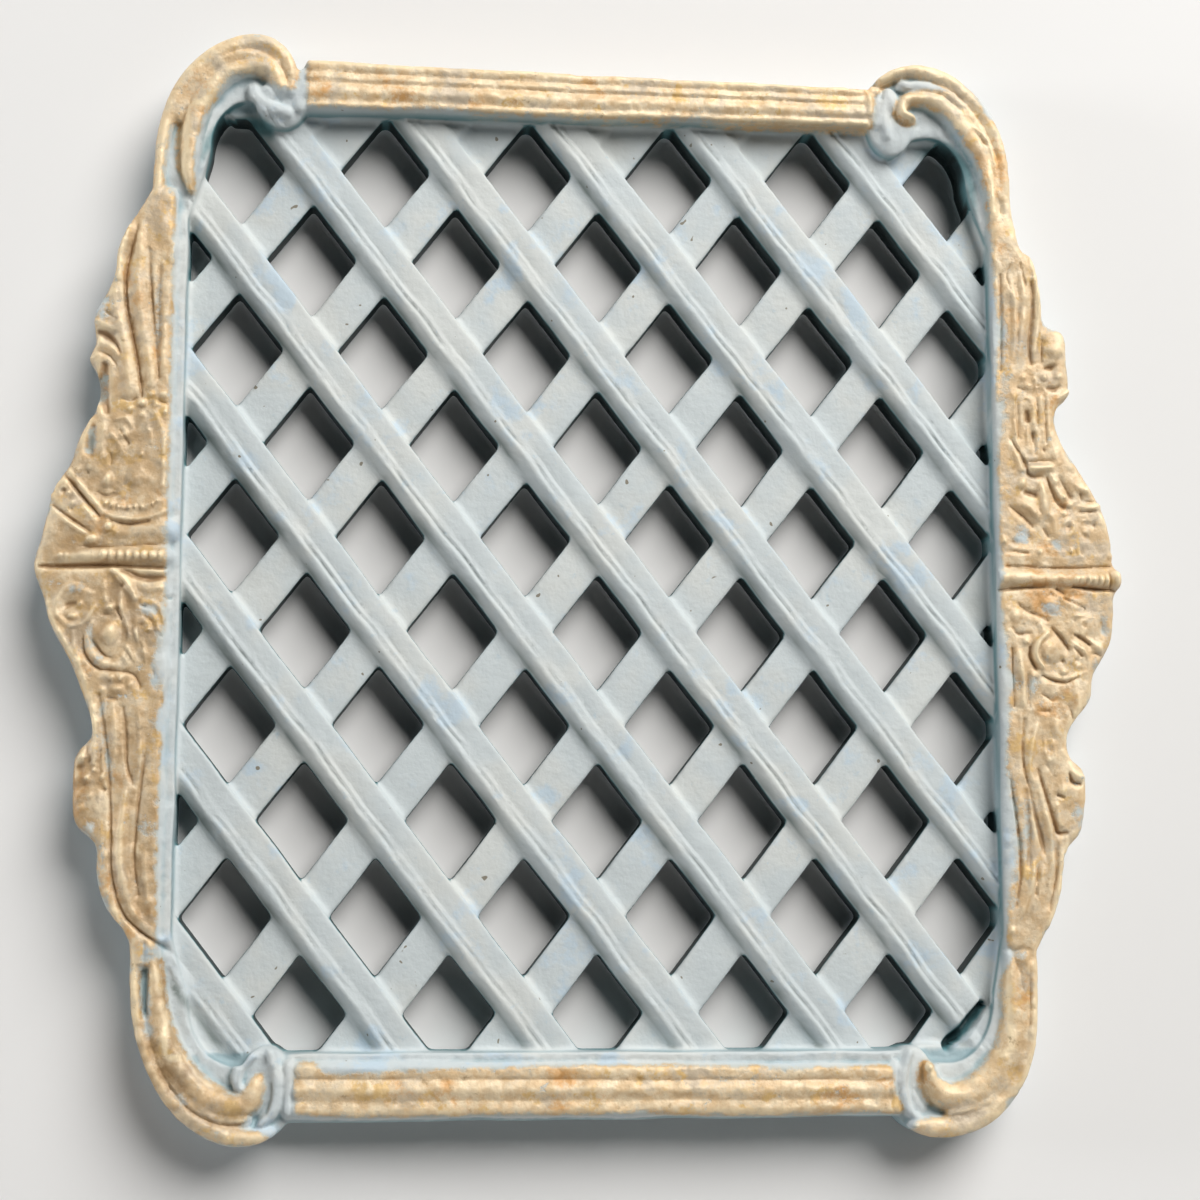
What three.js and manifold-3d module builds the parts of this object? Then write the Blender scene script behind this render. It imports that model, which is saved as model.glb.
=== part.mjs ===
import * as THREE from "three";
import { mergeVertices } from "three/addons/utils/BufferGeometryUtils.js";
import Module from "manifold-3d";

// A wall grille cast in one piece: a diamond lattice inside a gilt frame with scrolled corners.
// The panel is drawn lying in the xy plane, x to the right, y up and z out of the wall.
// The drawing's datum is the top corner of the middle opening of the lattice.

// Lattice.
const latticeStepX = 35;
const latticeStepY = 45.33;
const barWidth = 10.4;
const rearBarHeight = 7.2;
const frontBarRise = 2.3;
const frontFlank = 2.4;
const beadWidth = 1.5;
const beadRise = 0.5;
const edgeEase = 0.7;
const openingHeight = 28.8;
const barsEachSide = 5;
const barLength = 340;

// Inner edges of the frame, where the lattice runs into it.
const innerLeft = -99.5;
const innerRight = 97;
const innerTop = 111.8;
const innerBottom = -113.5;
const latticeTuck = 1.5;

// Plaster fills the small triangles that the lattice would leave open under the top rail.
const fillWidth = 8.4;
const fillDepth = 5.4;
const fillHeight = 8.4;
const fillsEachSide = 2;

// Heights above the wall.
const bedHeight = 12;
const knobHeight = 14.6;
const rollCrest = 16.5;
const filletCrest = 14.6;

// Corner bands: an outer edge of two elliptic quarters and an inner edge of one.
const cornerSteps = 9;
const corners = [
  {
    name: "top left", side: -1, rise: 1,
    crownX: -84, crownY: 131, flankX: -108, flankY: 97, curlX: -73.3, curlY: 118, power: 2,
    lobeX: -85.5, lobeY: 102, lobeWide: 9, lobeHigh: 12.3,
    waistX: -99.5, waistY: 84, lumpX: -77.6, lumpY: 114, lumpWide: 6.2, lumpHigh: 6.5,
  },
  {
    name: "top right", side: 1, rise: 1,
    crownX: 80, crownY: 128.4, flankX: 102.6, flankY: 97, curlX: 65.6, curlY: 116, power: 2,
    lobeX: 82.5, lobeY: 98, lobeWide: 9, lobeHigh: 12.2,
    waistX: 97, waistY: 82, lumpX: 72.6, lumpY: 113.6, lumpWide: 6, lumpHigh: 8.6,
  },
  {
    name: "bottom left", side: -1, rise: -1,
    crownX: -83, crownY: -134.5, flankX: -108.5, flankY: -98, curlX: -71, curlY: -125, power: 1.9,
    lobeX: -84, lobeY: -101, lobeWide: 11.5, lobeHigh: 15,
    waistX: -99.5, waistY: -86, lumpX: -77, lumpY: -120, lumpWide: 6, lumpHigh: 8.5,
  },
  {
    name: "bottom right", side: 1, rise: -1,
    crownX: 80, crownY: -134, flankX: 105, flankY: -103, curlX: 68.6, curlY: -122, power: 2.2,
    lobeX: 83, lobeY: -101, lobeWide: 11.5, lobeHigh: 15.6,
    waistX: 97, waistY: -86, lumpX: 74, lumpY: -121, lumpWide: 5.4, lumpHigh: 8.5,
  },
];

// Rails: each roll runs from the left end to the right end, which sits a little lower or higher.
const topRail = {
  left: -71.4, right: 69, outerLeft: 124.7, outerRight: 121.6, innerLeft: -78, innerRight: 72,
};
const bottomRail = {
  left: -73, right: 72, outerLeft: -129.2, outerRight: -129, innerLeft: -78, innerRight: 75,
};
const railRolls = [
  { from: [-71.4, 123], to: [66, 120.3], half: 1.6, crest: 15.4 },
  { from: [-71.4, 118.9], to: [66, 116.7], half: 2.4, crest: rollCrest },
  { from: [-71.4, 114.4], to: [66, 113.2], half: 1.9, crest: filletCrest },
  { from: [-70, -116.6], to: [69, -118.2], half: 1.7, crest: filletCrest },
  { from: [-70, -121], to: [69, -121.9], half: 2.3, crest: rollCrest },
  { from: [-70, -125.8], to: [69, -126.2], half: 2.2, crest: 15.6 },
];

// Painted inner edge of the frame, rounding down to the lattice on the left and along the bottom.
const innerSlopes = [
  [[-100.6, -86, 2.4, 13], [-100.6, 84, 2.4, 13]],
  [[-70, -113.9, 2, 13], [70, -113.9, 2, 13]],
];

// Outer edges of the two side ornaments, from the top down.
const leftEdge = [
  [-107.6, 92], [-112, 84], [-115.4, 76], [-116.4, 69], [-120.8, 60], [-120.4, 53], [-122, 49.3],
  [-119.7, 45], [-119.6, 38], [-123.4, 31], [-125.3, 24.5], [-129.3, 17], [-131.4, 7], [-133, 1],
  [-132.8, -2.5], [-130.6, -8], [-129, -14], [-124.6, -22], [-122, -28], [-118.8, -37], [-119, -41],
  [-122.6, -46], [-122.3, -60], [-117.2, -65.5], [-116.6, -73], [-114.2, -80], [-109.3, -86.5],
  [-108.3, -95],
];
const rightEdge = [
  [102.7, 92], [104.6, 83], [108, 78], [109.4, 68], [110.6, 62.6], [115.2, 60.5], [115.9, 53],
  [116.2, 45], [113, 41], [113.6, 34.5], [118.6, 26], [123, 18], [125.8, 10], [126.2, 3.2],
  [127.6, 1], [127.6, -3], [126.2, -5.5], [125.4, -16], [120.6, -24.5], [119.8, -30], [114.4, -37],
  [114, -43.5], [118, -48.5], [117, -61], [112.2, -67.5], [110.9, -77], [108.6, -83.5], [104.6, -91],
];

// Carved strokes. Each station is x, y, half width and crest height.
const scrolls = [
  [[-106.2, 86, 1.3, 14.5], [-106.4, 98, 1.4, 15], [-105.2, 108, 1.8, 15.5], [-101.6, 116.6, 2.2, 16],
    [-95, 123.6, 2.4, 16.4], [-88.4, 127.6, 2.4, 16.6], [-82.4, 128.4, 2.2, 16.6],
    [-77.4, 125.6, 2, 16.4], [-75.3, 121, 1.8, 16], [-75.2, 116.5, 1.6, 15.6]],
  [[-98.8, 91.5, 0.8, 14], [-99.4, 97, 2, 15.4], [-98.9, 106, 2.6, 16.2], [-96, 114.5, 2.6, 16.4],
    [-90.4, 120.6, 2.3, 16.4], [-84.4, 122.8, 2.1, 16.4], [-79.6, 121.2, 2.2, 16.4],
    [-77.6, 117.4, 2.2, 16]],
  [[70.4, 124.2, 1.2, 15], [75, 126.5, 1.7, 15.8], [80, 126.7, 1.9, 16.2], [86.4, 124.8, 2, 16.4],
    [92, 120.6, 2, 16.4], [96.6, 115, 2, 16.2], [99.6, 108.6, 2, 16], [100.9, 102, 1.8, 15.6],
    [101.1, 94, 1.5, 15], [101.8, 86, 1.5, 14.6]],
  [[77.7, 114.3, 1.1, 16.6], [75.3, 115.6, 1.4, 16.6], [75.9, 118.6, 1.6, 16.4],
    [79.6, 119.8, 1.7, 16.2], [84.6, 118.7, 2.2, 16.4], [89.2, 115, 2.8, 16.4],
    [93, 109.6, 2.8, 16.2], [95.8, 103, 2.2, 15.8], [97.4, 96, 1.8, 15.2], [98.4, 88, 1.4, 14.6]],
  [[-107.3, -86, 1, 14.4], [-107.2, -98, 1.3, 15], [-106, -108, 1.6, 15.5], [-103.2, -116.6, 1.9, 16],
    [-98.2, -123.8, 2.1, 16.3], [-92, -128.8, 2.3, 16.5], [-85.6, -131.6, 2.4, 16.4],
    [-79.6, -132.2, 2, 16], [-76, -131.2, 1.3, 15]],
  [[-103.2, -91, 1, 14.2], [-102.2, -102, 2.2, 15.6], [-100.2, -110.4, 2.9, 16.2],
    [-96, -117.6, 3.3, 16.4], [-90.6, -122.8, 3.3, 16.4], [-85, -125, 3, 16.4],
    [-80.6, -123.6, 2.6, 16.4], [-79.4, -120.2, 2.1, 16.2]],
  [[103.4, -87, 1.3, 14.4], [103.7, -98, 1.4, 15], [103.2, -108, 1.6, 15.5], [100.9, -117, 1.9, 16],
    [96.6, -124, 2.1, 16.3], [90.8, -129, 2.4, 16.5], [84.6, -131.4, 2.5, 16.4],
    [78.6, -131.4, 2.3, 16], [74.4, -130.6, 1.3, 15]],
  [[98, -91, 1.2, 14.2], [99, -100, 2.5, 15.6], [99.2, -108, 3.2, 16.2], [96.6, -116, 3.7, 16.4],
    [91.2, -122, 3.8, 16.4], [85, -124.6, 3.4, 16.4], [79.8, -123, 2.6, 16.4], [78, -119, 1.8, 16.4]],
];
const flutes = [
  [[-111.8, 85.5, 0.8, 13.6], [-113.7, 80, 1.6, 15.4], [-114.6, 74, 1.7, 15.4], [-115.2, 68, 2, 15.2],
    [-115.2, 62, 2.4, 15.6], [-113.8, 55, 2.4, 16], [-112.9, 48, 2.4, 16], [-112.9, 39, 2, 15.4]],
  [[-109.4, 86, 1.4, 14], [-110.8, 77, 2.3, 15.4], [-110.9, 68, 2.6, 16], [-109.7, 60, 2.4, 16],
    [-108, 52, 2, 16], [-107, 42, 1.6, 15.4]],
  [[-103.6, 86, 1.8, 14.4], [-104.4, 74, 1.5, 15], [-104.6, 62, 1.4, 15.4], [-104, 52, 1.4, 15.2],
    [-103.8, 43, 1.2, 14.8]],
  [[-129.2, -9, 1, 14.6], [-127.6, -15, 1.3, 15.4], [-123.4, -22.5, 1.5, 16], [-120.4, -30, 1.5, 16],
    [-118, -38, 1.5, 15.8], [-117.2, -46, 1.3, 15.2], [-115.8, -57, 1.1, 15], [-115.2, -67, 1.1, 15],
    [-113.6, -77, 1.2, 15], [-109.8, -84, 1.1, 14.4]],
  [[-114.8, -31, 1.6, 15.2], [-113.8, -38, 1.7, 16], [-112.6, -47, 1.4, 15.6],
    [-111.6, -57, 1.6, 15.8], [-111.3, -66, 1.9, 16.2], [-110.6, -74, 1.9, 16.2],
    [-107.6, -81, 1.7, 15.8], [-102, -87, 1, 14.4]],
  [[-108.6, -32, 1.3, 15], [-107.4, -40, 1.5, 15.8], [-108.2, -50, 1.3, 15.6], [-108.2, -62, 1.2, 15.4],
    [-107.6, -74, 1, 15]],
  [[-104.6, -39, 0.8, 14.6], [-104.8, -50, 1.3, 15.2], [-105.2, -62, 1.4, 15.4],
    [-104.6, -72, 1.5, 15.6], [-103.8, -80, 1, 14.8]],
  [[98.6, 81, 1.2, 14.4], [97.9, 70, 1, 14.8], [98.2, 58, 1, 14.8], [97.9, 40, 1, 15], [98.2, 12, 1, 15]],
  [[101.4, 79, 1.4, 14.6], [103, 70, 1.4, 15.6], [102.8, 60, 1.3, 15.6], [101.9, 48, 1.1, 15.2]],
  [[105.2, 79, 1.3, 14.6], [106, 70, 1.6, 15.6], [105.6, 61, 1.6, 15.8], [104.4, 52, 1.3, 15.4]],
  [[107.6, 78, 0.9, 14.6], [108.7, 70, 1.2, 15.4], [108.4, 62, 1.3, 15.6], [106.6, 53, 1, 15.2]],
  [[98.4, -15, 1, 15], [98.7, -32, 1, 15], [99.4, -52, 1.1, 15], [99.2, -68, 1.1, 15],
    [98, -82, 1.1, 14.6]],
  [[101.4, -33, 0.9, 14.8], [102.2, -44, 1.1, 15.2], [104, -54, 1.5, 15.6], [105.4, -62, 1.6, 15.8],
    [104.4, -72, 1.7, 16], [102, -80, 1.4, 15.4], [98.6, -86, 1.1, 14.6]],
  [[105.2, -36, 1.2, 15.4], [104.8, -45, 1.2, 15.6], [107, -56, 1.5, 16], [108.6, -66, 1.6, 16],
    [108, -76, 1.7, 15.8], [104.4, -84, 1.5, 15]],
  [[109, -37, 1.4, 15.2], [109, -44, 1.2, 14.8]],
];
const bands = [
  [[-117, 7.6, 2, 15.2], [-102.8, 7.8, 2.6, 15.2]],
  [[-131, 2.4, 1.1, 15.4], [-118, 2.2, 1.8, 16.6], [-103, 1.8, 2.1, 16.8]],
  [[-131.4, -3.2, 1.2, 14.8], [-103, -4.6, 1.4, 15]],
  [[98.6, 4.4, 1.1, 15], [125.4, 4.6, 1.1, 15]],
  [[98, -0.9, 2.2, 17], [127.2, -0.9, 2.4, 17]],
  [[98.6, -5.2, 1, 14.8], [125.4, -5, 1, 14.8]],
];
const ribs = [
  [[-117.2, 11.6, 0.7, 15.6], [-125.8, 22.2, 1, 15.6]],
  [[-119, 9.8, 0.7, 15.6], [-129, 17, 1.2, 15.2]],
  [[-119.8, 7.6, 0.7, 15.4], [-129.8, 12, 1.2, 15]],
  [[-116.2, 13, 0.7, 15.2], [-121.4, 26.4, 1.1, 15]],
  [[-117.4, 11.4, 0.8, 15.4], [-112, 9.8, 1, 15.8], [-103.4, 12.6, 0.9, 15.2]],
  [[-113.6, -1.8, 1, 15.4], [-109.4, -8.4, 1.2, 16]],
  [[-115.8, 55.6, 1.5, 14.6], [-120.4, 58, 0.7, 14]],
  [[-114.6, 50.4, 1.4, 14.8], [-121.4, 49.4, 0.8, 14]],
  [[-119.6, 45, 0.8, 14.4], [-119.4, 37.6, 0.8, 14.6], [-116.4, 32, 1, 15.2], [-116.8, 25, 1.4, 15.6]],
  [[-123.9, 28.6, 0.7, 14.2], [-120.8, 35, 0.7, 14.2]],
  [[-106.6, -7.4, 0.8, 14.6], [-103, -12.4, 1.4, 15.2], [-106.4, -15.6, 1.4, 15.4]],
  [[-110.4, -14, 1, 15.4], [-107.6, -20, 1.4, 16], [-111.6, -24.8, 1.4, 15.8], [-115.4, -27.6, 1.4, 15.4]],
  [[-104.4, -18.6, 1.2, 14.6], [-102.8, -26, 1.6, 15.2], [-105.4, -31.6, 1.2, 15]],
  [[101.2, 33.6, 0.8, 14.8], [103.4, 26.6, 1.1, 15.6]],
  [[104.4, 43, 0.7, 15.2], [104, 30, 0.8, 15.2]],
  [[108.2, 43, 0.7, 15.2], [108.6, 30, 0.8, 15.2]],
  [[111.2, 41, 0.7, 15], [112.6, 29, 0.9, 15]],
  [[105, 26.4, 1.1, 16.2], [111, 26.5, 1.1, 16.2]],
  [[107.6, 23, 1, 15.6], [111.4, 16, 1.6, 16.2], [113.4, 9, 1, 15.4]],
  [[111.4, 22.6, 1, 15.2], [116, 16.6, 1.2, 15.8], [122.4, 16.8, 0.9, 14.8]],
  [[113.6, 24.6, 0.9, 14.8], [120.4, 20.4, 1.3, 15.2]],
  [[101.4, 17.6, 0.9, 15], [107.6, 13.8, 1.4, 15.8]],
  [[99.4, 8.8, 1, 15.4], [104.6, 9.6, 1.4, 15.2]],
  [[109.8, -3.8, 0.8, 15.2], [109.8, -9, 2.6, 15.6]],
  [[114.6, -10.4, 0.9, 15.2], [119, -12.4, 2, 15.2], [121.6, -17.4, 1.2, 15]],
  [[102.2, -18.6, 1.6, 16], [102.4, -30, 0.9, 15.2]],
  [[106.6, -24.4, 0.9, 15.4], [112.6, -26.4, 1.6, 15.8], [118.4, -24.6, 1, 15]],
  [[106, -29.6, 1.3, 15.2], [110, -31.4, 1.2, 15.4]],
  [[110, 58.6, 1, 14.8], [115, 59.4, 0.9, 14.4]],
  [[109, 54.2, 1.4, 15.4], [115.2, 54.4, 1, 14.6]],
  [[107.6, 49.2, 1.2, 15.6], [114.8, 49.6, 1.1, 14.8]],
  [[110.4, 46, 1, 15], [115.4, 45, 1, 14.6]],
  [[110.4, -45.4, 1.2, 15.2], [116.8, -49, 1.2, 15]],
  [[108, -47, 1, 15.4], [112.4, -57.6, 1.5, 15.4]],
  [[113.6, -53, 1.2, 14.8], [116, -60.6, 0.9, 14.2]],
];
// Rounded lumps: x, y, half width, half height, crest.
const lumps = [
  [-119.4, -46.8, 2.4, 2.2, 15.4], [-118.6, -51.4, 2.6, 2.4, 15.2], [-119, -57, 2.8, 2.8, 14.6],
  [-123.6, -10.6, 4, 3.9, 15.4], [-115.4, -16.6, 3.6, 4.4, 17], [-114.4, -29.6, 2.2, 1.8, 15],
  [-110.6, 21.4, 4.2, 5.4, 15], [-117, 19.8, 1.8, 1.9, 15.6], [-113, 32.2, 2.2, 2, 15.6],
  [-108.6, 37.6, 2, 2, 15.8], [-105.4, 31.6, 1.6, 2.2, 15.4], [-109.4, 29.8, 1.5, 1.4, 15.6],
  [-125.8, 17.6, 1.3, 1.1, 15.4], [-119.4, 5.4, 1.6, 1.2, 16], [-115.6, 8.6, 1.3, 1.6, 16.4],
  [109, -18.4, 4.4, 4.4, 17.2], [116.8, -19.6, 2, 2.2, 15.4], [101.2, -10, 2.8, 2.6, 15.8],
  [103.4, -16, 1.6, 1.6, 15.6], [113, -23.4, 1.7, 1.4, 15.8], [115.4, -31.8, 2, 2.6, 14.6],
  [118.4, -27.2, 2, 1.8, 14.6], [103.6, 22.6, 1.6, 2, 15.4], [113.6, 19.8, 1.5, 1.4, 16],
  [119.4, 9.6, 3, 2.8, 15], [114.6, 10.8, 1.8, 1.8, 15.4], [103.4, 10.6, 2, 1.8, 15],
  [105.8, 47.4, 1.5, 1.5, 15.6],
];

// Rows of beads: the roped band's twists and the beading under the blank shield.
const beadRows = [
  { path: [[-129, 2.3], [-104, 2]], count: 9, halfWide: 0.9, halfHigh: 2.1, crest: 17.4 },
  { path: [[-116, 14.4], [-110.5, 12.6], [-104.6, 15]], count: 5, halfWide: 1, halfHigh: 1, crest: 15.8 },
  { path: [[116, -0.9], [125, -0.9]], count: 4, halfWide: 0.8, halfHigh: 2.6, crest: 17.6 },
];

const fullFacets = 4;
const fluteFacets = 3;
const creaseFacets = 2;
const knobSkip = 3;
const lumpSides = 6;
const stationSpacing = 6.5;
const buried = 1.2;
const colours = { paint: "#c9d3d5", roughness: 0.62, metalness: 0 };

const wasm = await Module();
wasm.setup();

function toSolid(geometry) {
  const bare = geometry.clone();
  bare.deleteAttribute("normal");
  bare.deleteAttribute("uv");
  const welded = mergeVertices(bare, 1e-5);
  return new wasm.Manifold(new wasm.Mesh({
    numProp: 3,
    vertProperties: new Float32Array(welded.attributes.position.array),
    triVerts: new Uint32Array(welded.index.array),
  }));
}

function toGeometry(solid) {
  const mesh = solid.getMesh();
  const geometry = new THREE.BufferGeometry();
  geometry.setAttribute("position", new THREE.BufferAttribute(mesh.vertProperties, 3));
  geometry.setIndex(new THREE.BufferAttribute(mesh.triVerts, 1));
  return geometry;
}

// A flat-topped slab with the given outline, standing on the wall.
function slab(outline, height) {
  const shape = new THREE.Shape(outline.map(([x, y]) => new THREE.Vector2(x, y)));
  return toSolid(new THREE.ExtrudeGeometry(shape, { depth: height, bevelEnabled: false, steps: 1 }));
}

// One bar of the lattice: its section is extruded along the bar, across the panel's middle.
function bar(section, alongX, alongY, middleX, middleY) {
  const shape = new THREE.Shape(section.map(([u, z]) => new THREE.Vector2(u, z)));
  const geometry = new THREE.ExtrudeGeometry(shape, { depth: barLength, bevelEnabled: false });
  geometry.translate(0, 0, -barLength / 2);
  const along = new THREE.Vector3(alongX, alongY, 0).normalize();
  const out = new THREE.Vector3(0, 0, 1);
  const across = new THREE.Vector3().crossVectors(out, along);
  geometry.applyMatrix4(new THREE.Matrix4().makeBasis(across, out, along));
  geometry.translate(middleX, middleY, 0);
  return toSolid(geometry);
}

// A rounded ridge along a smooth stroke, wider and taller where its stations say so.
function ridge(stations, base, facets = fullFacets) {
  const path = new THREE.CatmullRomCurve3(stations.map(([x, y]) => new THREE.Vector3(x, y, 0)));
  const sizes = new THREE.CatmullRomCurve3(stations.map(([, , half, crest]) =>
    new THREE.Vector3(half, crest, 0)));
  const straight = stations.length === 2;
  const steps = straight ? 1 : Math.max(stations.length, Math.round(path.getLength() / stationSpacing));
  const positions = [];
  const index = [];
  const ring = facets + 1;
  const topSine = Math.sin(Math.PI * Math.floor(facets / 2) / facets);
  for (let i = 0; i <= steps; i += 1) {
    const t = i / steps;
    const middle = path.getPoint(t);
    const way = path.getTangent(t);
    const size = sizes.getPoint(t);
    for (let k = 0; k <= facets; k += 1) {
      const angle = Math.PI * k / facets;
      const sideways = size.x * Math.cos(angle);
      positions.push(
        middle.x + way.y * sideways,
        middle.y - way.x * sideways,
        base - buried + (size.y - base + buried) * Math.sin(angle) / topSine,
      );
    }
  }
  for (let i = 0; i < steps; i += 1) {
    for (let k = 0; k < ring; k += 1) {
      const a = i * ring + k;
      const b = i * ring + (k + 1) % ring;
      index.push(a, a + ring, b + ring, a, b + ring, b);
    }
  }
  for (let k = 1; k < facets; k += 1) {
    index.push(0, k, k + 1);
    index.push(steps * ring, steps * ring + k + 1, steps * ring + k);
  }
  const geometry = new THREE.BufferGeometry();
  geometry.setAttribute("position", new THREE.Float32BufferAttribute(positions, 3));
  geometry.setIndex(index);
  return toSolid(geometry);
}

// A low dome, turned on a lathe and then stretched.
function lump([x, y, halfWide, halfHigh, crest], base) {
  const rise = crest - base + buried;
  const profile = [
    new THREE.Vector2(0, 0),
    new THREE.Vector2(1, 0),
    new THREE.Vector2(0.66, rise * 0.8),
    new THREE.Vector2(0, rise),
  ];
  const geometry = new THREE.LatheGeometry(profile, lumpSides);
  geometry.rotateX(Math.PI / 2);
  geometry.scale(halfWide, halfHigh, 1);
  geometry.translate(x, y, base - buried);
  return toSolid(geometry);
}

// Points of an elliptic quarter from one end of it to the other.
function quarter(middleX, middleY, reachX, reachY, from, to, power = 2) {
  const points = [];
  for (let i = 0; i <= cornerSteps; i += 1) {
    const angle = THREE.MathUtils.lerp(from, to, i / cornerSteps);
    const c = Math.abs(Math.cos(angle)) ** (2 / power);
    const s = Math.abs(Math.sin(angle)) ** (2 / power);
    points.push([middleX + reachX * c, middleY + reachY * s]);
  }
  return points;
}

// The bed of a corner scroll, between the outer edge of the frame and the end of the lattice.
function cornerBed(corner, height) {
  const { side, rise } = corner;
  const outer = quarter(corner.crownX, corner.flankY, corner.flankX - corner.crownX,
    corner.crownY - corner.flankY, 0, Math.PI / 2, corner.power);
  const curl = quarter(corner.crownX, corner.curlY, corner.curlX - corner.crownX,
    corner.crownY - corner.curlY, Math.PI / 2, 0);
  const lobe = quarter(corner.lobeX, corner.lobeY, side * corner.lobeWide,
    rise * corner.lobeHigh, Math.PI / 2, 0);
  const outline = [
    [corner.flankX, corner.waistY],
    ...outer,
    ...curl.slice(1),
    [corner.lumpX - side * corner.lumpWide * 0.5, corner.lumpY - rise * corner.lumpHigh * 0.6],
    ...lobe,
    [corner.waistX, corner.waistY],
  ];
  return slab(side * rise > 0 ? outline : outline.reverse(), height);
}

// The flat-topped knob that a corner scroll curls round.
function knob({ lumpX, lumpY, lumpWide, lumpHigh }, height) {
  const top = quarter(lumpX, lumpY, lumpWide, lumpHigh, 0, Math.PI / 2);
  const across = quarter(lumpX, lumpY, -lumpWide, lumpHigh, Math.PI / 2, 0);
  const under = quarter(lumpX, lumpY, -lumpWide, -lumpHigh, 0, Math.PI / 2);
  const back = quarter(lumpX, lumpY, lumpWide, -lumpHigh, Math.PI / 2, 0);
  const round = [...top, ...across.slice(1), ...under.slice(1), ...back.slice(1, -1)];
  return slab(round.filter((point, place) => place % knobSkip === 0), height);
}

// Rows of small beads along the roped band and round the blank shield.
function beads() {
  const made = [];
  for (const row of beadRows) {
    const path = new THREE.CatmullRomCurve3(row.path.map(([x, y]) => new THREE.Vector3(x, y, 0)));
    for (let i = 0; i < row.count; i += 1) {
      const spot = path.getPoint(row.count > 1 ? i / (row.count - 1) : 0);
      made.push(lump([spot.x, spot.y, row.halfWide, row.halfHigh, row.crest], bedHeight));
    }
  }
  return made;
}

function joined(solids) {
  return solids.reduce((whole, next) => whole.add(next));
}

// Lattice: plain bars behind, and beaded bars with a sloping flank over them.
const half = barWidth / 2;
const frontHeight = rearBarHeight + frontBarRise;
const beadInner = frontFlank + beadWidth;
const rearSection = [
  [-half, 0], [half, 0], [half, rearBarHeight - edgeEase], [half - edgeEase, rearBarHeight],
  [edgeEase - half, rearBarHeight], [-half, rearBarHeight - edgeEase],
];
const frontSection = [
  [-half, 0], [half, 0], [half, frontHeight - 2 * edgeEase], [half - edgeEase, frontHeight],
  [beadInner + beadRise - half, frontHeight], [beadInner - half, frontHeight + beadRise],
  [frontFlank - half, frontHeight + beadRise], [-half, rearBarHeight - edgeEase],
];
const crossingLift = (latticeStepY - openingHeight) / 2;
const bars = [];
for (let i = -barsEachSide; i <= barsEachSide; i += 1) {
  bars.push(bar(rearSection, latticeStepX, latticeStepY, i * latticeStepX, crossingLift));
  bars.push(bar(frontSection, latticeStepX, -latticeStepY, i * latticeStepX, crossingLift));
}
const field = slab([
  [innerLeft - latticeTuck, innerBottom - latticeTuck],
  [innerRight + latticeTuck, innerBottom - latticeTuck],
  [innerRight + latticeTuck, innerTop + latticeTuck],
  [innerLeft - latticeTuck, innerTop + latticeTuck],
], bedHeight);
const fills = [];
for (let i = -fillsEachSide; i <= fillsEachSide; i += 1) {
  const middleX = i * latticeStepX;
  fills.push(slab([
    [middleX - fillWidth / 2, innerTop + latticeTuck],
    [middleX, innerTop - fillDepth],
    [middleX + fillWidth / 2, innerTop + latticeTuck],
  ], fillHeight));
}
const [topLeft] = corners;
const openLobe = slab([
  [topLeft.lobeX, topLeft.lobeY],
  ...quarter(topLeft.lobeX, topLeft.lobeY, -topLeft.lobeWide, topLeft.lobeHigh, 0, Math.PI / 2),
], bedHeight);
const lattice = joined([...bars, ...fills]).intersect(field).subtract(openLobe);

// Frame: a plain bed all round, with rolls, scrolls, flutes and leaves standing on it.
const beds = [
  slab([
    [topRail.innerLeft, innerTop], [topRail.innerRight, innerTop],
    [topRail.right, topRail.outerRight], [topRail.left, topRail.outerLeft],
  ], bedHeight),
  slab([
    [bottomRail.innerLeft, innerBottom], [bottomRail.innerRight, innerBottom],
    [bottomRail.right, bottomRail.outerRight], [bottomRail.left, bottomRail.outerLeft],
  ], bedHeight),
  slab([...leftEdge, [innerLeft, leftEdge.at(-1)[1]], [innerLeft, leftEdge[0][1]]], bedHeight),
  slab([...rightEdge, [innerRight, rightEdge.at(-1)[1]], [innerRight, rightEdge[0][1]]], bedHeight),
];
for (const corner of corners) {
  beds.push(cornerBed(corner, bedHeight));
  beds.push(knob(corner, knobHeight));
}
const relief = [
  ...[...scrolls, ...bands, ...innerSlopes].map((stations) => ridge(stations, bedHeight)),
  ...flutes.map((stations) => ridge(stations, bedHeight, fluteFacets)),
  ...ribs.map((stations) => ridge(stations, bedHeight, creaseFacets)),
  ...railRolls.map(({ from, to, half: wide, crest }) =>
    ridge([[...from, wide, crest], [...to, wide, crest]], bedHeight)),
  ...lumps.map((size) => lump(size, bedHeight)),
  ...beads(),
];
const grille = joined([...beds, ...relief, lattice]);

const panel = new THREE.Mesh(toGeometry(grille), new THREE.MeshStandardMaterial({
  color: colours.paint,
  roughness: colours.roughness,
  metalness: colours.metalness,
}));
panel.name = "grille";

// The panel is stood upright with its flat back on the wall, and hung from its middle crossing.
const upright = new THREE.Group();
panel.geometry.translate(0, -crossingLift, 0);
panel.rotation.x = Math.PI / 2;
upright.add(panel);
export default upright;
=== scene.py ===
import bpy
import numpy as np
from math import ceil, cos, hypot, pi, radians, sin
from mathutils import Matrix, Vector


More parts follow.
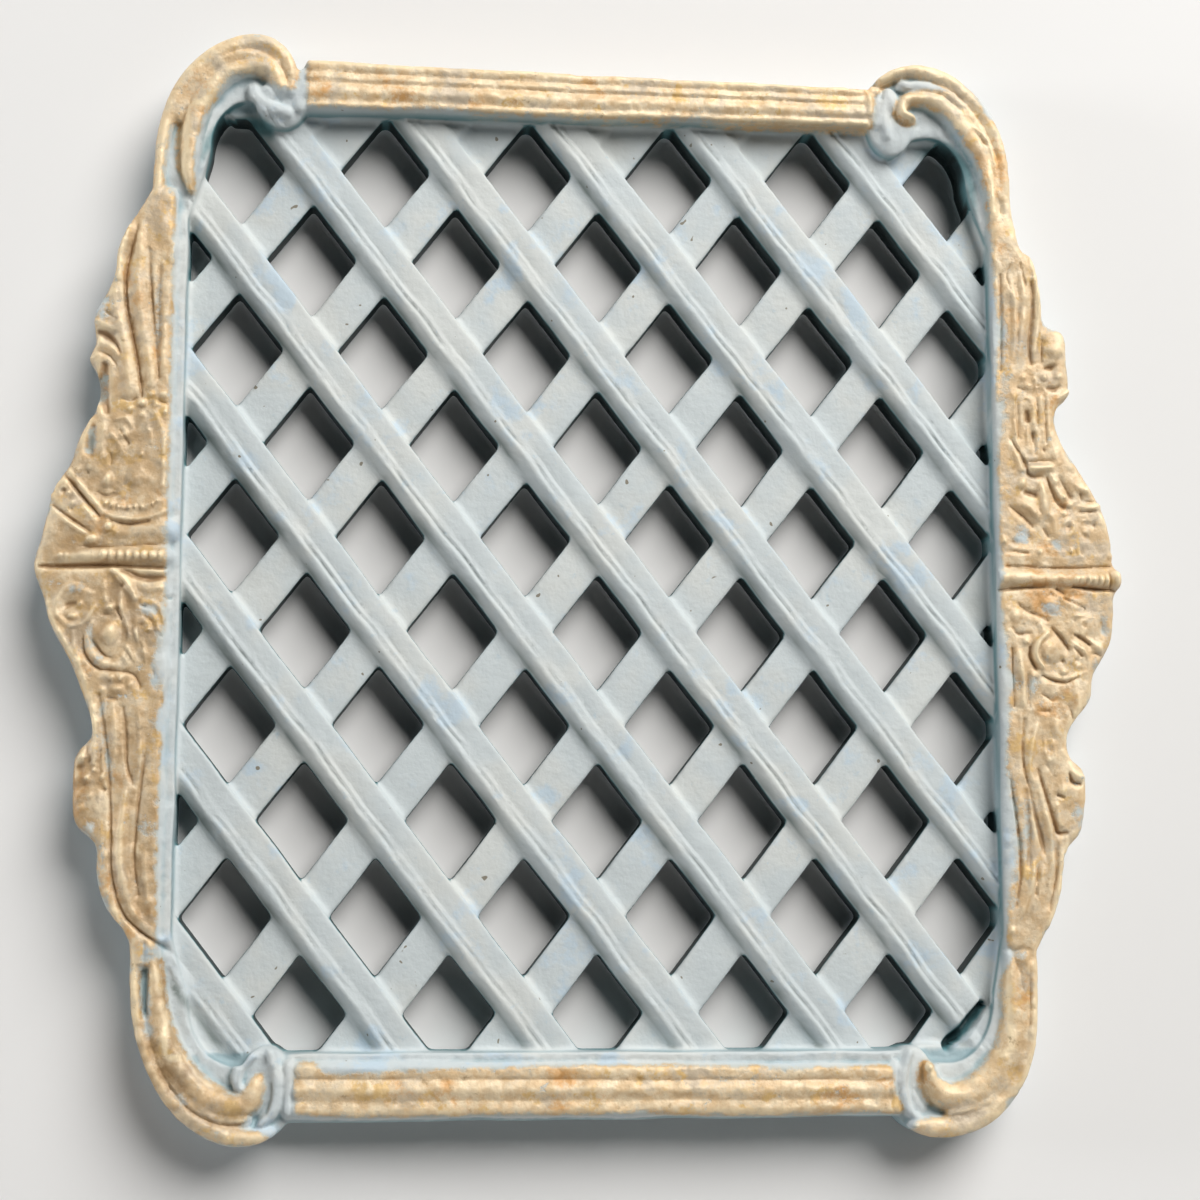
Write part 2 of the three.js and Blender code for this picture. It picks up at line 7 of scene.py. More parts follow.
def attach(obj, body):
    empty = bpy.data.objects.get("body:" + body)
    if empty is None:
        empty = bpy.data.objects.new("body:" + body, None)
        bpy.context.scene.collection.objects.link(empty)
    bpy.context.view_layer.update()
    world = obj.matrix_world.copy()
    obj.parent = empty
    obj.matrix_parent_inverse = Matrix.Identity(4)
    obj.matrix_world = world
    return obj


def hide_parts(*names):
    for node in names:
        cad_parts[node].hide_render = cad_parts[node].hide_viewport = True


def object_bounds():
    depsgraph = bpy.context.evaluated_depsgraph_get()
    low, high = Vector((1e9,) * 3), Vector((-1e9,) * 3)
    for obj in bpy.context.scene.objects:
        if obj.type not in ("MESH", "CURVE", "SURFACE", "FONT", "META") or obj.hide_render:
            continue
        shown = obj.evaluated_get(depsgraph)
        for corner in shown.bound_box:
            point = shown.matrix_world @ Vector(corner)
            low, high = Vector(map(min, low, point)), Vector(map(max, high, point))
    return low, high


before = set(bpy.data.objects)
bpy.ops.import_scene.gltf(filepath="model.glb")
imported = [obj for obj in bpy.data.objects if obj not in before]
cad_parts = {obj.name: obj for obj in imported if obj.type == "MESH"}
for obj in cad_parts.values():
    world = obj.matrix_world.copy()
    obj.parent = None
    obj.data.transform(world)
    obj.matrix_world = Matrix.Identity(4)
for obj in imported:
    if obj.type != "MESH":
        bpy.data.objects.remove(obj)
cadLow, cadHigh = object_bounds()

# The panel is drawn as on paper, in millimetres: x to the right, up, and out of the wall.
# The drawing's datum is the top corner of the middle opening, below the origin's crossing.
mm = 0.001
crossingLift = 8.265


def place(x, up, out):
    return Vector((x * mm, -out * mm, (up - crossingLift) * mm))


def tint(red, green, blue):
    # A colour given from 0 to 255, as the linear values that Blender mixes.
    return tuple(((c / 255 + 0.055) / 1.055) ** 2.4 if c > 10 else c / 3294.6
                 for c in (red, green, blue)) + (1.0,)


# Forms

lattice = {
    "stepX": 35, "stepUp": 45.33, "barWidth": 10.4, "rearHeight": 7.2, "frontHeight": 9.5, "flankFoot": 7.9,
    "flankWidth": 2.4, "stripWidth": 2.0, "stripHeight": 9.9, "faceStart": -0.8, "overlap": 0.2, "reach": 190,
    "left": -99.5, "right": 97, "top": 111.8, "bottom": -113.5, "tuck": 1.5,
    "rearBars": range(-4, 6), "frontBars": range(-5, 6),
    "fillWide": 8.4, "fillDeep": 5.4, "fillHeight": 8.4, "fills": range(-2, 3),
    "pocketFills": [[(-99.6, -94), (-92, -104.5), (-84, -115), (-90, -118), (-98, -112), (-100.4, -102)],
                    [(74.5, -112.6), (89, -112.6), (89, -118), (74.5, -118)],
                    [(-90, 111), (-80, 111), (-80, 117), (-90, 117)]], "pocketHeight": 9.2,
    "slot": [(83.6, -113, 1.1, 1), (87.8, -108.8, 1.5, 1), (92.2, -103.4, 1.1, 1)], "slotDepth": 5,
}

frameBed = {
    "height": 12, "quarterSteps": 16,
    "topRail": [(-78, 111.8), (72, 111.8), (69, 121.6), (-71.4, 124.7)],
    "bottomRail": [(-78, -113.5), (75, -113.5), (72, -129), (-73, -129.2)],
    "leftEdge": [
        (-107.6, 92), (-112, 84), (-115.4, 76), (-116.4, 69), (-120.8, 60), (-120.4, 53), (-122, 49.3),
        (-119.7, 45), (-119.6, 38), (-123.4, 31), (-125.3, 24.5), (-129.3, 17), (-131.4, 7), (-133, 1),
        (-132.8, -2.5), (-130.6, -8), (-129, -14), (-124.6, -22), (-122, -28), (-118.8, -37), (-119, -41),
        (-122.6, -46), (-122.3, -60), (-117.2, -65.5), (-116.6, -73), (-114.2, -80), (-109.3, -86.5),
        (-108.3, -95)],
    "rightEdge": [
        (102.7, 92), (104.6, 83), (108, 78), (109.4, 68), (110.6, 62.6), (115.2, 60.5), (115.9, 53),
        (116.2, 45), (113, 41), (113.6, 34.5), (118.6, 26), (123, 18), (125.8, 10), (126.2, 3.2),
        (127.6, 1), (127.6, -3), (126.2, -5.5), (125.4, -16), (120.6, -24.5), (119.8, -30), (114.4, -37),
        (114, -43.5), (118, -48.5), (117, -61), (112.2, -67.5), (110.9, -77), (108.6, -83.5), (104.6, -91)],
}

corners = [
    {"side": -1, "rise": 1, "crownX": -84, "crownUp": 131, "flankX": -108, "flankUp": 97,
     "curlX": -73.3, "curlUp": 118, "power": 2, "lobeX": -85.5, "lobeUp": 102, "lobeWide": 9,
     "lobeHigh": 12.3,
     "waistX": -99.5, "waistUp": 84, "lumpX": -77.6, "lumpUp": 114, "lumpWide": 6.2, "lumpHigh": 6.5},
    {"side": 1, "rise": 1, "crownX": 80, "crownUp": 128.4, "flankX": 102.6, "flankUp": 97,
     "curlX": 65.6, "curlUp": 116, "power": 2, "lobeX": 82.5, "lobeUp": 98, "lobeWide": 9, "lobeHigh": 12.2,
     "waistX": 97, "waistUp": 82, "lumpX": 72.6, "lumpUp": 113.6, "lumpWide": 6, "lumpHigh": 8.6},
    {"side": -1, "rise": -1, "crownX": -83, "crownUp": -134.5, "flankX": -108.5, "flankUp": -98,
     "curlX": -71, "curlUp": -125, "power": 1.9, "lobeX": -84, "lobeUp": -101, "lobeWide": 11.5,
     "lobeHigh": 15,
     "waistX": -99.5, "waistUp": -86, "lumpX": -77, "lumpUp": -120, "lumpWide": 6, "lumpHigh": 8.5},
    {"side": 1, "rise": -1, "crownX": 80, "crownUp": -134, "flankX": 105, "flankUp": -103,
     "curlX": 68.6, "curlUp": -122, "power": 2.2, "lobeX": 83, "lobeUp": -101, "lobeWide": 11.5,
     "lobeHigh": 15.6,
     "waistX": 97, "waistUp": -86, "lumpX": 74, "lumpUp": -121, "lumpWide": 5.4, "lumpHigh": 8.5},
]


def curveThrough(stations, spacing):
    # Evenly spaced points on the smooth curve through the stations, whatever each station carries.
    points = np.array(stations, float)
    if len(points) == 2:
        count = max(2, ceil(hypot(*(points[1] - points[0])[:2]) / spacing))
        return np.linspace(points[0], points[1], count + 1)
    padded = np.vstack([2 * points[0] - points[1], points, 2 * points[-1] - points[-2]])
    pieces = []
    for i in range(len(points) - 1):
        a, b, c, d = padded[i:i + 4]
        count = max(1, ceil(hypot(*(c - b)[:2]) / spacing))
        t = (np.arange(count) / count)[:, None]
        pieces.append(0.5 * (2 * b + (c - a) * t + (2 * a - 5 * b + 4 * c - d) * t ** 2
                             + (3 * b - a - 3 * c + d) * t ** 3))
    return np.vstack(pieces + [points[-1:]])


def slabFrom(name, outline, height):
    # A flat slab on the wall. The height is one number, or a function of the drawing's x and up.
    bpy.ops.object.select_all(action="DESELECT")
    bpy.ops.mesh.primitive_circle_add(vertices=len(outline), radius=0.01, fill_type="NGON")
    slab = bpy.context.object
    slab.name = name
    for vertex, (x, up) in zip(slab.data.vertices, outline):
        vertex.co = place(x, up, 0)
    bpy.ops.object.mode_set(mode="EDIT")
    bpy.ops.mesh.select_all(action="SELECT")
    bpy.ops.mesh.extrude_region_move(TRANSFORM_OT_translate={"value": (0, -mm, 0)})
    bpy.ops.object.mode_set(mode="OBJECT")
    for vertex in slab.data.vertices:
        if vertex.co.y < -mm / 2:
            x, up = vertex.co.x / mm, vertex.co.z / mm + crossingLift
            vertex.co.y = -(height(x, up) if callable(height) else height) * mm
    bpy.ops.object.mode_set(mode="EDIT")
    bpy.ops.mesh.select_all(action="SELECT")
    bpy.ops.mesh.normals_make_consistent(inside=False)
    bpy.ops.object.mode_set(mode="OBJECT")
    return slab


def insideField(outline):
    # Trims a flat outline to the field that the frame leaves for the lattice.
    grown = lattice["tuck"]
    sides = [((1, 0), lattice["right"] + grown), ((-1, 0), grown - lattice["left"]),
             ((0, 1), lattice["top"] + grown), ((0, -1), grown - lattice["bottom"])]
    for (nx, ny), limit in sides:
        kept = []
        for i, here in enumerate(outline):
            last = outline[i - 1]
            a = nx * last[0] + ny * last[1] - limit
            b = nx * here[0] + ny * here[1] - limit
            if (a > 0) != (b > 0):
                t = a / (a - b)
                kept.append((last[0] + t * (here[0] - last[0]), last[1] + t * (here[1] - last[1])))
            if b <= 0:
                kept.append(here)
        outline = kept
        if len(outline) < 3:
            return []
    return outline


def barStrip(middleX, slope, inner, outer):
    # One strip of a bar, between two distances from its middle line, measured to the upper right.
    length = hypot(lattice["stepX"], lattice["stepUp"])
    along = (lattice["stepX"] / length, slope * lattice["stepUp"] / length)
    across = (lattice["stepUp"] / length, -slope * lattice["stepX"] / length)
    ends = [(-1, inner), (1, inner), (1, outer), (-1, outer)]
    return insideField([(middleX + lattice["reach"] * s * along[0] + u * across[0],
                         crossingLift + lattice["reach"] * s * along[1] + u * across[1]) for s, u in ends])


def makeLattice():
    half = lattice["barWidth"] / 2
    length = hypot(lattice["stepX"], lattice["stepUp"])
    made = []
    for i in lattice["rearBars"]:
        outline = barStrip(i * lattice["stepX"], 1, -half, half)
        if outline:
            made.append(slabFrom("rearBar", outline, lattice["rearHeight"]))
    stripStart = lattice["flankWidth"] - half
    for i in lattice["frontBars"]:
        middle = i * lattice["stepX"]

        def flankHeight(x, up):
            u = ((x - middle) * lattice["stepUp"] + (up - crossingLift) * lattice["stepX"]) / length + half
            climb = min(1, u / lattice["flankWidth"])
            return lattice["flankFoot"] + (lattice["stripHeight"] - lattice["flankFoot"]) * climb

        strips = [(-half, stripStart + lattice["overlap"], flankHeight),
                  (stripStart, stripStart + lattice["stripWidth"], lattice["stripHeight"]),
                  (lattice["faceStart"], half, lattice["frontHeight"])]
        for inner, outer, height in strips:
            outline = barStrip(middle, -1, inner, outer)
            if outline:
                made.append(slabFrom("frontBar", outline, height))
    for i in lattice["fills"]:
        middle = i * lattice["stepX"]
        top = lattice["top"] + lattice["tuck"]
        outline = [(middle - lattice["fillWide"] / 2, top), (middle, lattice["top"] - lattice["fillDeep"]),
                   (middle + lattice["fillWide"] / 2, top)]
        made.append(slabFrom("plasterFill", outline, lattice["fillHeight"]))
    for outline in lattice["pocketFills"]:
        made.append(slabFrom("plasterFill", outline, lattice["pocketHeight"]))
    return made


def quarter(middleX, middleUp, reachX, reachUp, start, end, power=2):
    points = []
    for i in range(frameBed["quarterSteps"] + 1):
        angle = start + (end - start) * i / frameBed["quarterSteps"]
        points.append((middleX + reachX * abs(cos(angle)) ** (2 / power),
                       middleUp + reachUp * abs(sin(angle)) ** (2 / power)))
    return points


def makeFrameBed():
    height = frameBed["height"]
    made = [slabFrom("topRail", frameBed["topRail"], height),
            slabFrom("bottomRail", frameBed["bottomRail"], height)]
    for name, inner in (("leftEdge", lattice["left"]), ("rightEdge", lattice["right"])):
        edge = [tuple(p) for p in curveThrough(frameBed[name], 1.2)]
        made.append(slabFrom(name, edge + [(inner, edge[-1][1]), (inner, edge[0][1])], height))
    for c in corners:
        outer = quarter(c["crownX"], c["flankUp"], c["flankX"] - c["crownX"], c["crownUp"] - c["flankUp"],
                        0, pi / 2, c["power"])
        curl = quarter(c["crownX"], c["curlUp"], c["curlX"] - c["crownX"], c["crownUp"] - c["curlUp"],
                       pi / 2, 0)
        lobe = quarter(c["lobeX"], c["lobeUp"], c["side"] * c["lobeWide"], c["rise"] * c["lobeHigh"],
                       pi / 2, 0)
        tuckIn = (c["lumpX"] - c["side"] * c["lumpWide"] * 0.5, c["lumpUp"] - c["rise"] * c["lumpHigh"] * 0.6)
        first, last = (c["flankX"], c["waistUp"]), (c["waistX"], c["waistUp"])
        outline = [first] + outer + curl[1:] + [tuckIn] + lobe + [last]
        made.append(slabFrom("cornerBed", outline, height))
        ring = [(c["lumpX"] + c["lumpWide"] * cos(a), c["lumpUp"] + c["lumpHigh"] * sin(a))
                for a in np.linspace(0, 2 * pi, 40, endpoint=False)]
        made.append(slabFrom("cornerKnob", ring, height))
    return made


def fuse(parts, name, voxel):
    bpy.ops.object.select_all(action="DESELECT")
    for part in parts:
        part.select_set(True)
    bpy.context.view_layer.objects.active = parts[0]
    if len(parts) > 1:
        bpy.ops.object.join()
    piece = bpy.context.object
    piece.name = name
    bpy.ops.object.transform_apply(location=True, rotation=True, scale=True)
    skin = piece.modifiers.new("skin", "REMESH")
    skin.mode = "VOXEL"
    skin.voxel_size = voxel * mm
    skin.use_smooth_shade = True
    bpy.ops.object.modifier_apply(modifier=skin.name)
    return piece


skinPlan = {"firstGrain": 0.5, "firstSmoothing": 9, "lastGrain": 0.36, "lastSmoothing": 2,
            "triangles": 190000}

print("lattice and frame bed")
parts = makeLattice() + makeFrameBed()
grille = fuse(parts, "gildedGrille", skinPlan["firstGrain"])


def smoothed(piece, times):
    bpy.ops.object.select_all(action="DESELECT")
    piece.select_set(True)
    bpy.context.view_layer.objects.active = piece
    soften = piece.modifiers.new("soften", "SMOOTH")
    soften.factor, soften.iterations = 0.5, times
    bpy.ops.object.modifier_apply(modifier=soften.name)


# Rounded edges, as of a cast from a worn mould.
smoothed(grille, skinPlan["firstSmoothing"])
print("blank panel", len(grille.data.polygons), "faces")

# Relief, drawn on a sheet of heights that lies over the panel

sheet = {"left": -138, "right": 133, "bottom": -140, "top": 136, "step": 0.25}
acrossMm = np.arange(sheet["left"], sheet["right"], sheet["step"])
upMm = np.arange(sheet["bottom"], sheet["top"], sheet["step"])
sheetShape = (len(upMm), len(acrossMm))

# Rolls, scrolls and leaves: x, up, half width, crest above the wall.
scrolls = [
    [(-106.2, 86, 1.3, 14.5), (-106.4, 98, 1.4, 15), (-105.2, 108, 1.8, 15.5), (-101.6, 116.6, 2.2, 16),
     (-95, 123.6, 2.4, 16.4), (-88.4, 127.6, 2.4, 16.6), (-82.4, 128.4, 2.2, 16.6),
     (-77.4, 125.6, 2, 16.4), (-75.3, 121, 1.8, 16), (-75.2, 116.5, 1.6, 15.6)],
    [(-98.8, 91.5, 0.8, 14), (-99.4, 97, 2, 15.4), (-98.9, 106, 2.6, 16.2), (-96, 114.5, 2.6, 16.4),
     (-90.4, 120.6, 2.3, 16.4), (-84.4, 122.8, 2.1, 16.4), (-79.6, 121.2, 2.2, 16.4),
     (-77.6, 117.4, 2.2, 16)],
    [(70.4, 124.2, 1.2, 15), (75, 126.5, 1.7, 15.8), (80, 126.7, 1.9, 16.2), (86.4, 124.8, 2, 16.4),
     (92, 120.6, 2, 16.4), (96.6, 115, 2, 16.2), (99.6, 108.6, 2, 16), (100.9, 102, 1.8, 15.6),
     (101.1, 94, 1.5, 15), (101.8, 86, 1.5, 14.6)],
    [(77.7, 114.3, 1.1, 16.6), (75.3, 115.6, 1.4, 16.6), (75.9, 118.6, 1.6, 16.4),
     (79.6, 119.8, 1.7, 16.2), (84.6, 118.7, 2.2, 16.4), (89.2, 115, 2.8, 16.4), (93, 109.6, 2.8, 16.2),
     (95.8, 103, 2.2, 15.8), (97.4, 96, 1.8, 15.2), (98.4, 88, 1.4, 14.6)],
    [(-107.3, -86, 1, 14.4), (-107.2, -98, 1.3, 15), (-106, -108, 1.6, 15.5), (-103.2, -116.6, 1.9, 16),
     (-98.2, -123.8, 2.1, 16.3), (-92, -128.8, 2.3, 16.5), (-85.6, -131.6, 2.4, 16.4),
     (-79.6, -132.2, 2, 16), (-76, -131.2, 1.3, 15)],
    [(-103.2, -91, 1, 14.2), (-102.2, -102, 2.2, 15.6), (-100.2, -110.4, 2.9, 16.2),
     (-96, -117.6, 3.3, 16.4), (-90.6, -122.8, 3.3, 16.4), (-85, -125, 3, 16.4),
     (-80.6, -123.6, 2.6, 16.4), (-79.4, -120.2, 2.1, 16.2)],
    [(103.4, -87, 1.3, 14.4), (103.7, -98, 1.4, 15), (103.2, -108, 1.6, 15.5), (100.9, -117, 1.9, 16),
     (96.6, -124, 2.1, 16.3), (90.8, -129, 2.4, 16.5), (84.6, -131.4, 2.5, 16.4), (78.6, -131.4, 2.3, 16),
     (74.4, -130.6, 1.3, 15)],
    [(98, -91, 1.2, 14.2), (99, -100, 2.5, 15.6), (99.2, -108, 3.2, 16.2), (96.6, -116, 3.7, 16.4),
     (91.2, -122, 3.8, 16.4), (85, -124.6, 3.4, 16.4), (79.8, -123, 2.6, 16.4), (78, -119, 1.8, 16.4)],
]
railRolls = [
    [(-71.4, 123.2, 1.5, 15.6), (66, 120.9, 1.5, 15.6)], [(-71.4, 120.1, 1, 15.9), (66, 118.2, 1, 15.9)],
    [(-71.4, 116.8, 2.3, 16.6), (66, 115.4, 2.1, 16.6)],
    [(-71.4, 113.4, 1.2, 15.2), (66, 112.8, 1.2, 15.2)], [(-70, -116.9, 1.6, 15), (69, -118.1, 1.6, 15)],
    [(-70, -121.6, 2.2, 16.6), (69, -122.3, 2.2, 16.6)],
    [(-70, -126, 1.9, 15.6), (69, -126.4, 1.9, 15.6)],
]
innerSlopes = [
    [(-100.6, -86, 2.4, 13), (-100.6, 84, 2.4, 13)], [(-70, -113.9, 2, 13), (70, -113.9, 2, 13)],
]
bands = [
    [(-84.4, 116.8, 1.8, 13.9), (-83.4, 114.8, 1.9, 14.8), (-80.6, 112.2, 2, 15.5),
     (-76, 111.2, 1.7, 15.2)],
    [(-73.2, 122.4, 1.8, 14.9), (-73.2, 113, 2, 15)], [(68.6, 121, 1.8, 15), (68.8, 113.2, 1.8, 15)],
    [(-71.8, -116.4, 1.6, 14.9), (-71.8, -126.4, 1.6, 14.9)],
    [(70, -117.4, 1.5, 14.9), (70.6, -127, 1.5, 14.8)],
    [(-80, -113.8, 1, 15), (-83, -116.8, 1.3, 15.5), (-83.2, -120.6, 1.2, 15.6),
     (-80.4, -121.6, 1, 15.6)],
    [(-76, -113, 1.2, 15.2), (-74.4, -119.6, 1.4, 15.6), (-75.2, -126, 1.3, 15.4), (-78, -129.4, 1, 15)],
    [(73.4, -114, 1.1, 15.2), (71.6, -119.6, 1.3, 15.6), (72.4, -126, 1.2, 15.4),
     (75.4, -129.8, 0.9, 15)],
    [(71.4, 109.8, 1.4, 14.8), (70.6, 116, 1.6, 15.2), (72.2, 121, 1.3, 15.2)],
    [(-102.6, 110, 1.8, 14.6), (-99, 117.4, 2.2, 15.4), (-92.4, 123.6, 2.4, 16.1),
     (-85, 125.4, 2.6, 16.2), (-79.6, 123.2, 2.2, 16.1)],
    [(-104.4, -106, 1.6, 14.6), (-101.6, -114.6, 1.8, 15.2), (-95.4, -123.2, 2, 15.8),
     (-88.4, -127.8, 2, 15.8), (-82, -128.4, 1.8, 15.4)],
    [(101.6, -94, 1.6, 14.4), (101.8, -107, 1.7, 15.2), (98.8, -117.4, 2, 15.9), (92.6, -125.2, 2.2, 16),
     (84, -128.4, 2, 15.8)],
    [(76, 123.2, 1.6, 15.6), (84.8, 121.8, 2.2, 15.9), (90.8, 117.8, 2.3, 16), (95.6, 111.6, 2.1, 15.8),
     (98.6, 104.4, 1.9, 15.4), (99.8, 95, 1.6, 15)],
    [(-114, 7.2, 2.2, 15.6), (-102.8, 8.2, 3.2, 15.9)],
    [(-128, 1.7, 1.5, 15.4), (-118, 1.8, 1.9, 16.6), (-103, 1.8, 2.1, 16.8)],
    [(98.6, 4.1, 1.2, 15.2), (125.4, 4.8, 1.2, 15.2)], [(98, -0.9, 2.2, 17), (127.2, -0.9, 2.4, 17)],
]
# Strokes of the left side, from the top down.
leftStrokes = [
    [(-112.2, 84, 0.9, 14.8), (-113.8, 79.5, 1.4, 16.2), (-115.1, 74, 1.5, 16.4),
     (-115.4, 68.5, 1.3, 16.2)],
    [(-116, 68.5, 1.2, 15.4), (-116, 62, 2.2, 15.6), (-114, 55, 2.4, 16), (-112.6, 48, 2.4, 16.2),
     (-112.3, 41, 2, 15.8)],
    [(-109.8, 83, 1.2, 15), (-110.6, 75, 2.1, 15.8), (-110.6, 66, 2.4, 16), (-109.3, 57, 2.2, 16),
     (-107.6, 49, 1.9, 16), (-106.8, 43, 1.6, 15.8)],
    [(-103.9, 67, 0.7, 15), (-104.1, 56, 0.9, 15.5), (-104.3, 46, 0.8, 15.4)],
    [(-102.6, 77, 0.9, 15.6), (-103, 73, 1, 15.6)],
    [(-120.4, 58.2, 0.9, 15.4), (-117.6, 57.2, 1.4, 15.8), (-114.8, 55.6, 1.2, 15.6)],
    [(-119.6, 53.2, 0.7, 15.2), (-116.4, 51.8, 1, 15.5), (-113.8, 48.8, 1, 15.8)],
    [(-121.2, 49.2, 0.8, 14.8), (-118.4, 50, 0.8, 14.9), (-115.6, 47.4, 0.7, 15.2)],
    [(-119.7, 47, 0.5, 14.8), (-119.8, 40, 0.6, 15), (-118.8, 36, 0.6, 15.2), (-116.6, 33.4, 0.7, 15.4)],
    [(-117.4, 34, 0.8, 15.4), (-118.1, 30, 0.9, 15.5), (-117.7, 25.5, 0.9, 15.4)],
    [(-124.6, 26.6, 0.8, 14.6), (-122.8, 30, 0.8, 14.8), (-120.6, 34.8, 0.7, 14.9)],
    [(-115.2, 34.6, 0.5, 15.6), (-112.9, 34.9, 0.55, 15.8), (-111.4, 33.2, 0.6, 16),
     (-110.9, 30.8, 0.5, 15.7)],
    [(-114.2, 33, 0.5, 15.5), (-112.6, 32, 0.55, 15.9), (-112.2, 30, 0.5, 15.6)],
    [(-116.4, 31.6, 0.6, 15.5), (-114.4, 29.2, 0.7, 15.8), (-113, 26.6, 0.8, 15.7)],
    [(-106.2, 36.8, 0.7, 15.7), (-104.8, 34, 0.8, 15.9), (-103.8, 31, 0.9, 15.9),
     (-103.7, 26.6, 0.8, 15.6)],
    [(-103.7, 24.4, 0.8, 15.5), (-103.5, 19, 0.9, 15.6)],
    [(-108.4, 33.8, 0.5, 15.6), (-107, 31.4, 0.6, 15.7), (-106.8, 29, 0.5, 15.6)],
    [(-118.4, 12.6, 0.6, 15.5), (-114.5, 10.9, 0.8, 15.9), (-110, 10.5, 0.8, 16),
     (-105.5, 11.4, 0.7, 15.8), (-102.6, 13, 0.7, 15.6)],
    [(-117, 12, 0.6, 16), (-121, 16.8, 0.65, 16), (-125.4, 22.2, 0.6, 15.6)],
    [(-118.7, 9.8, 0.5, 15.9), (-122, 13.8, 0.45, 15.5)],
    [(-120.6, 6.8, 0.6, 15.9), (-125, 9.6, 0.65, 15.8), (-128.6, 12.2, 0.6, 15.4)],
    [(-126.2, 13.6, 0.5, 15.4), (-129.4, 16.4, 0.7, 15.2)],
    [(-125.6, 19.4, 0.5, 15.5), (-127.6, 19.2, 0.5, 15.2), (-128.4, 17.6, 0.5, 15)],
    [(-114.8, -1.6, 1, 16), (-112, -4.4, 1.6, 16.6), (-109.4, -8.2, 1, 16.2)],
    [(-107.4, -6.2, 0.8, 15.6), (-102.9, -5.6, 0.9, 15.6)],
    [(-120, -5.6, 0.8, 15.5), (-124.4, -5.2, 0.9, 15.6), (-127, -8.4, 0.9, 15.8), (-127, -12, 0.9, 15.8),
     (-124, -14.7, 0.9, 15.8), (-120.6, -13.6, 0.8, 15.7), (-119, -10.4, 0.7, 15.6)],
    [(-125.4, -6.6, 0.6, 15.4), (-122.4, -6, 1.1, 15.8), (-119, -7.2, 0.8, 15.6)],
    [(-129.2, -9.2, 0.8, 15.2), (-128.2, -13, 0.9, 15.5), (-125.6, -17.6, 1, 15.6),
     (-122.8, -22, 1.1, 15.8), (-120.2, -27.6, 0.9, 15.6)],
    [(-123.2, -16, 0.7, 15.5), (-123, -19, 0.8, 15.9), (-121.8, -22.6, 0.7, 15.8)],
    [(-119, -13.6, 1, 15.6), (-120, -17, 1.2, 15.7), (-119.2, -20.8, 1.3, 15.8), (-116.9, -23, 1.2, 15.8),
     (-113.8, -24, 0.9, 15.6)],
    [(-116.7, -4.4, 0.7, 15.6), (-116.3, -8.8, 0.8, 15.8)],
    [(-112.8, -6.8, 0.9, 15.8), (-112.6, -10.6, 0.8, 15.9)],
    [(-118.2, -9.4, 0.5, 15.4), (-119.9, -12.2, 0.6, 15.6)],
    [(-112.4, -11.6, 0.6, 15.8), (-110.8, -15.6, 0.7, 16), (-110.6, -18, 0.6, 15.7)],
    [(-109.4, -15.4, 0.6, 16), (-107.2, -20.2, 0.7, 15.8), (-106.8, -23, 0.6, 15.4)],
    [(-111.6, -18.6, 0.4, 15.7), (-109.4, -22.4, 0.5, 15.8)],
    [(-112.6, -20.6, 0.4, 15.6), (-110.6, -23.8, 0.5, 15.8)],
    [(-108.8, -9.4, 0.5, 15.4), (-105.6, -9.2, 0.6, 15.8), (-103.2, -11, 0.7, 15.8),
     (-102.8, -13.6, 0.6, 15.4)],
    [(-109.4, -11.4, 0.45, 15.4), (-106.8, -11.2, 0.5, 15.7), (-104.8, -12.8, 0.5, 15.7),
     (-104.2, -15, 0.5, 15.5)],
    [(-109.2, -13.4, 0.4, 15.4), (-107, -13.4, 0.5, 15.7), (-105.8, -15.4, 0.5, 15.6)],
    [(-104.6, -17.6, 1, 14.6), (-102.6, -23, 1.2, 14.9), (-102.6, -29, 1, 15.2),
     (-104.6, -32.6, 0.7, 15.1)],
    [(-118.9, -31, 0.8, 15.3), (-118, -37, 0.9, 15.5), (-117.5, -43, 0.9, 15.6), (-116.7, -52, 0.7, 15.4),
     (-115.8, -60, 0.8, 15.4), (-115, -68, 0.9, 15.5), (-113.9, -76, 0.9, 15.4),
     (-111.4, -82.4, 0.9, 15.2), (-109.2, -86.6, 0.7, 14.8)],
    [(-113.9, -32.6, 0.9, 15.4), (-113.2, -39, 1.1, 15.9), (-113, -46, 0.8, 15.4)],
    [(-108.9, -31, 0.7, 15.2), (-107.8, -36, 0.9, 15.7), (-107.1, -43, 0.9, 15.8),
     (-107.2, -50, 0.7, 15.4)],
    [(-109.9, -49.6, 0.6, 15.2), (-110.6, -56, 1.1, 15.8), (-111.1, -62, 1.5, 16.2),
     (-111.1, -68, 1.7, 16.4), (-110.2, -74, 1.7, 16.4), (-108.4, -79.6, 1.5, 16.2),
     (-105.4, -83.8, 1.1, 15.6), (-101.6, -87.4, 0.6, 14.6)],
    [(-104.7, -38, 0.7, 14.9), (-104.5, -48, 0.8, 15.2), (-104.7, -57.4, 0.7, 15.1)],
    [(-105.4, -65.6, 0.8, 15), (-105.4, -71, 1.4, 15.8), (-104.4, -78.6, 1, 15.6)],
    [(-118.1, -42.8, 0.8, 15.8), (-117.9, -47, 0.8, 16.2)],
]
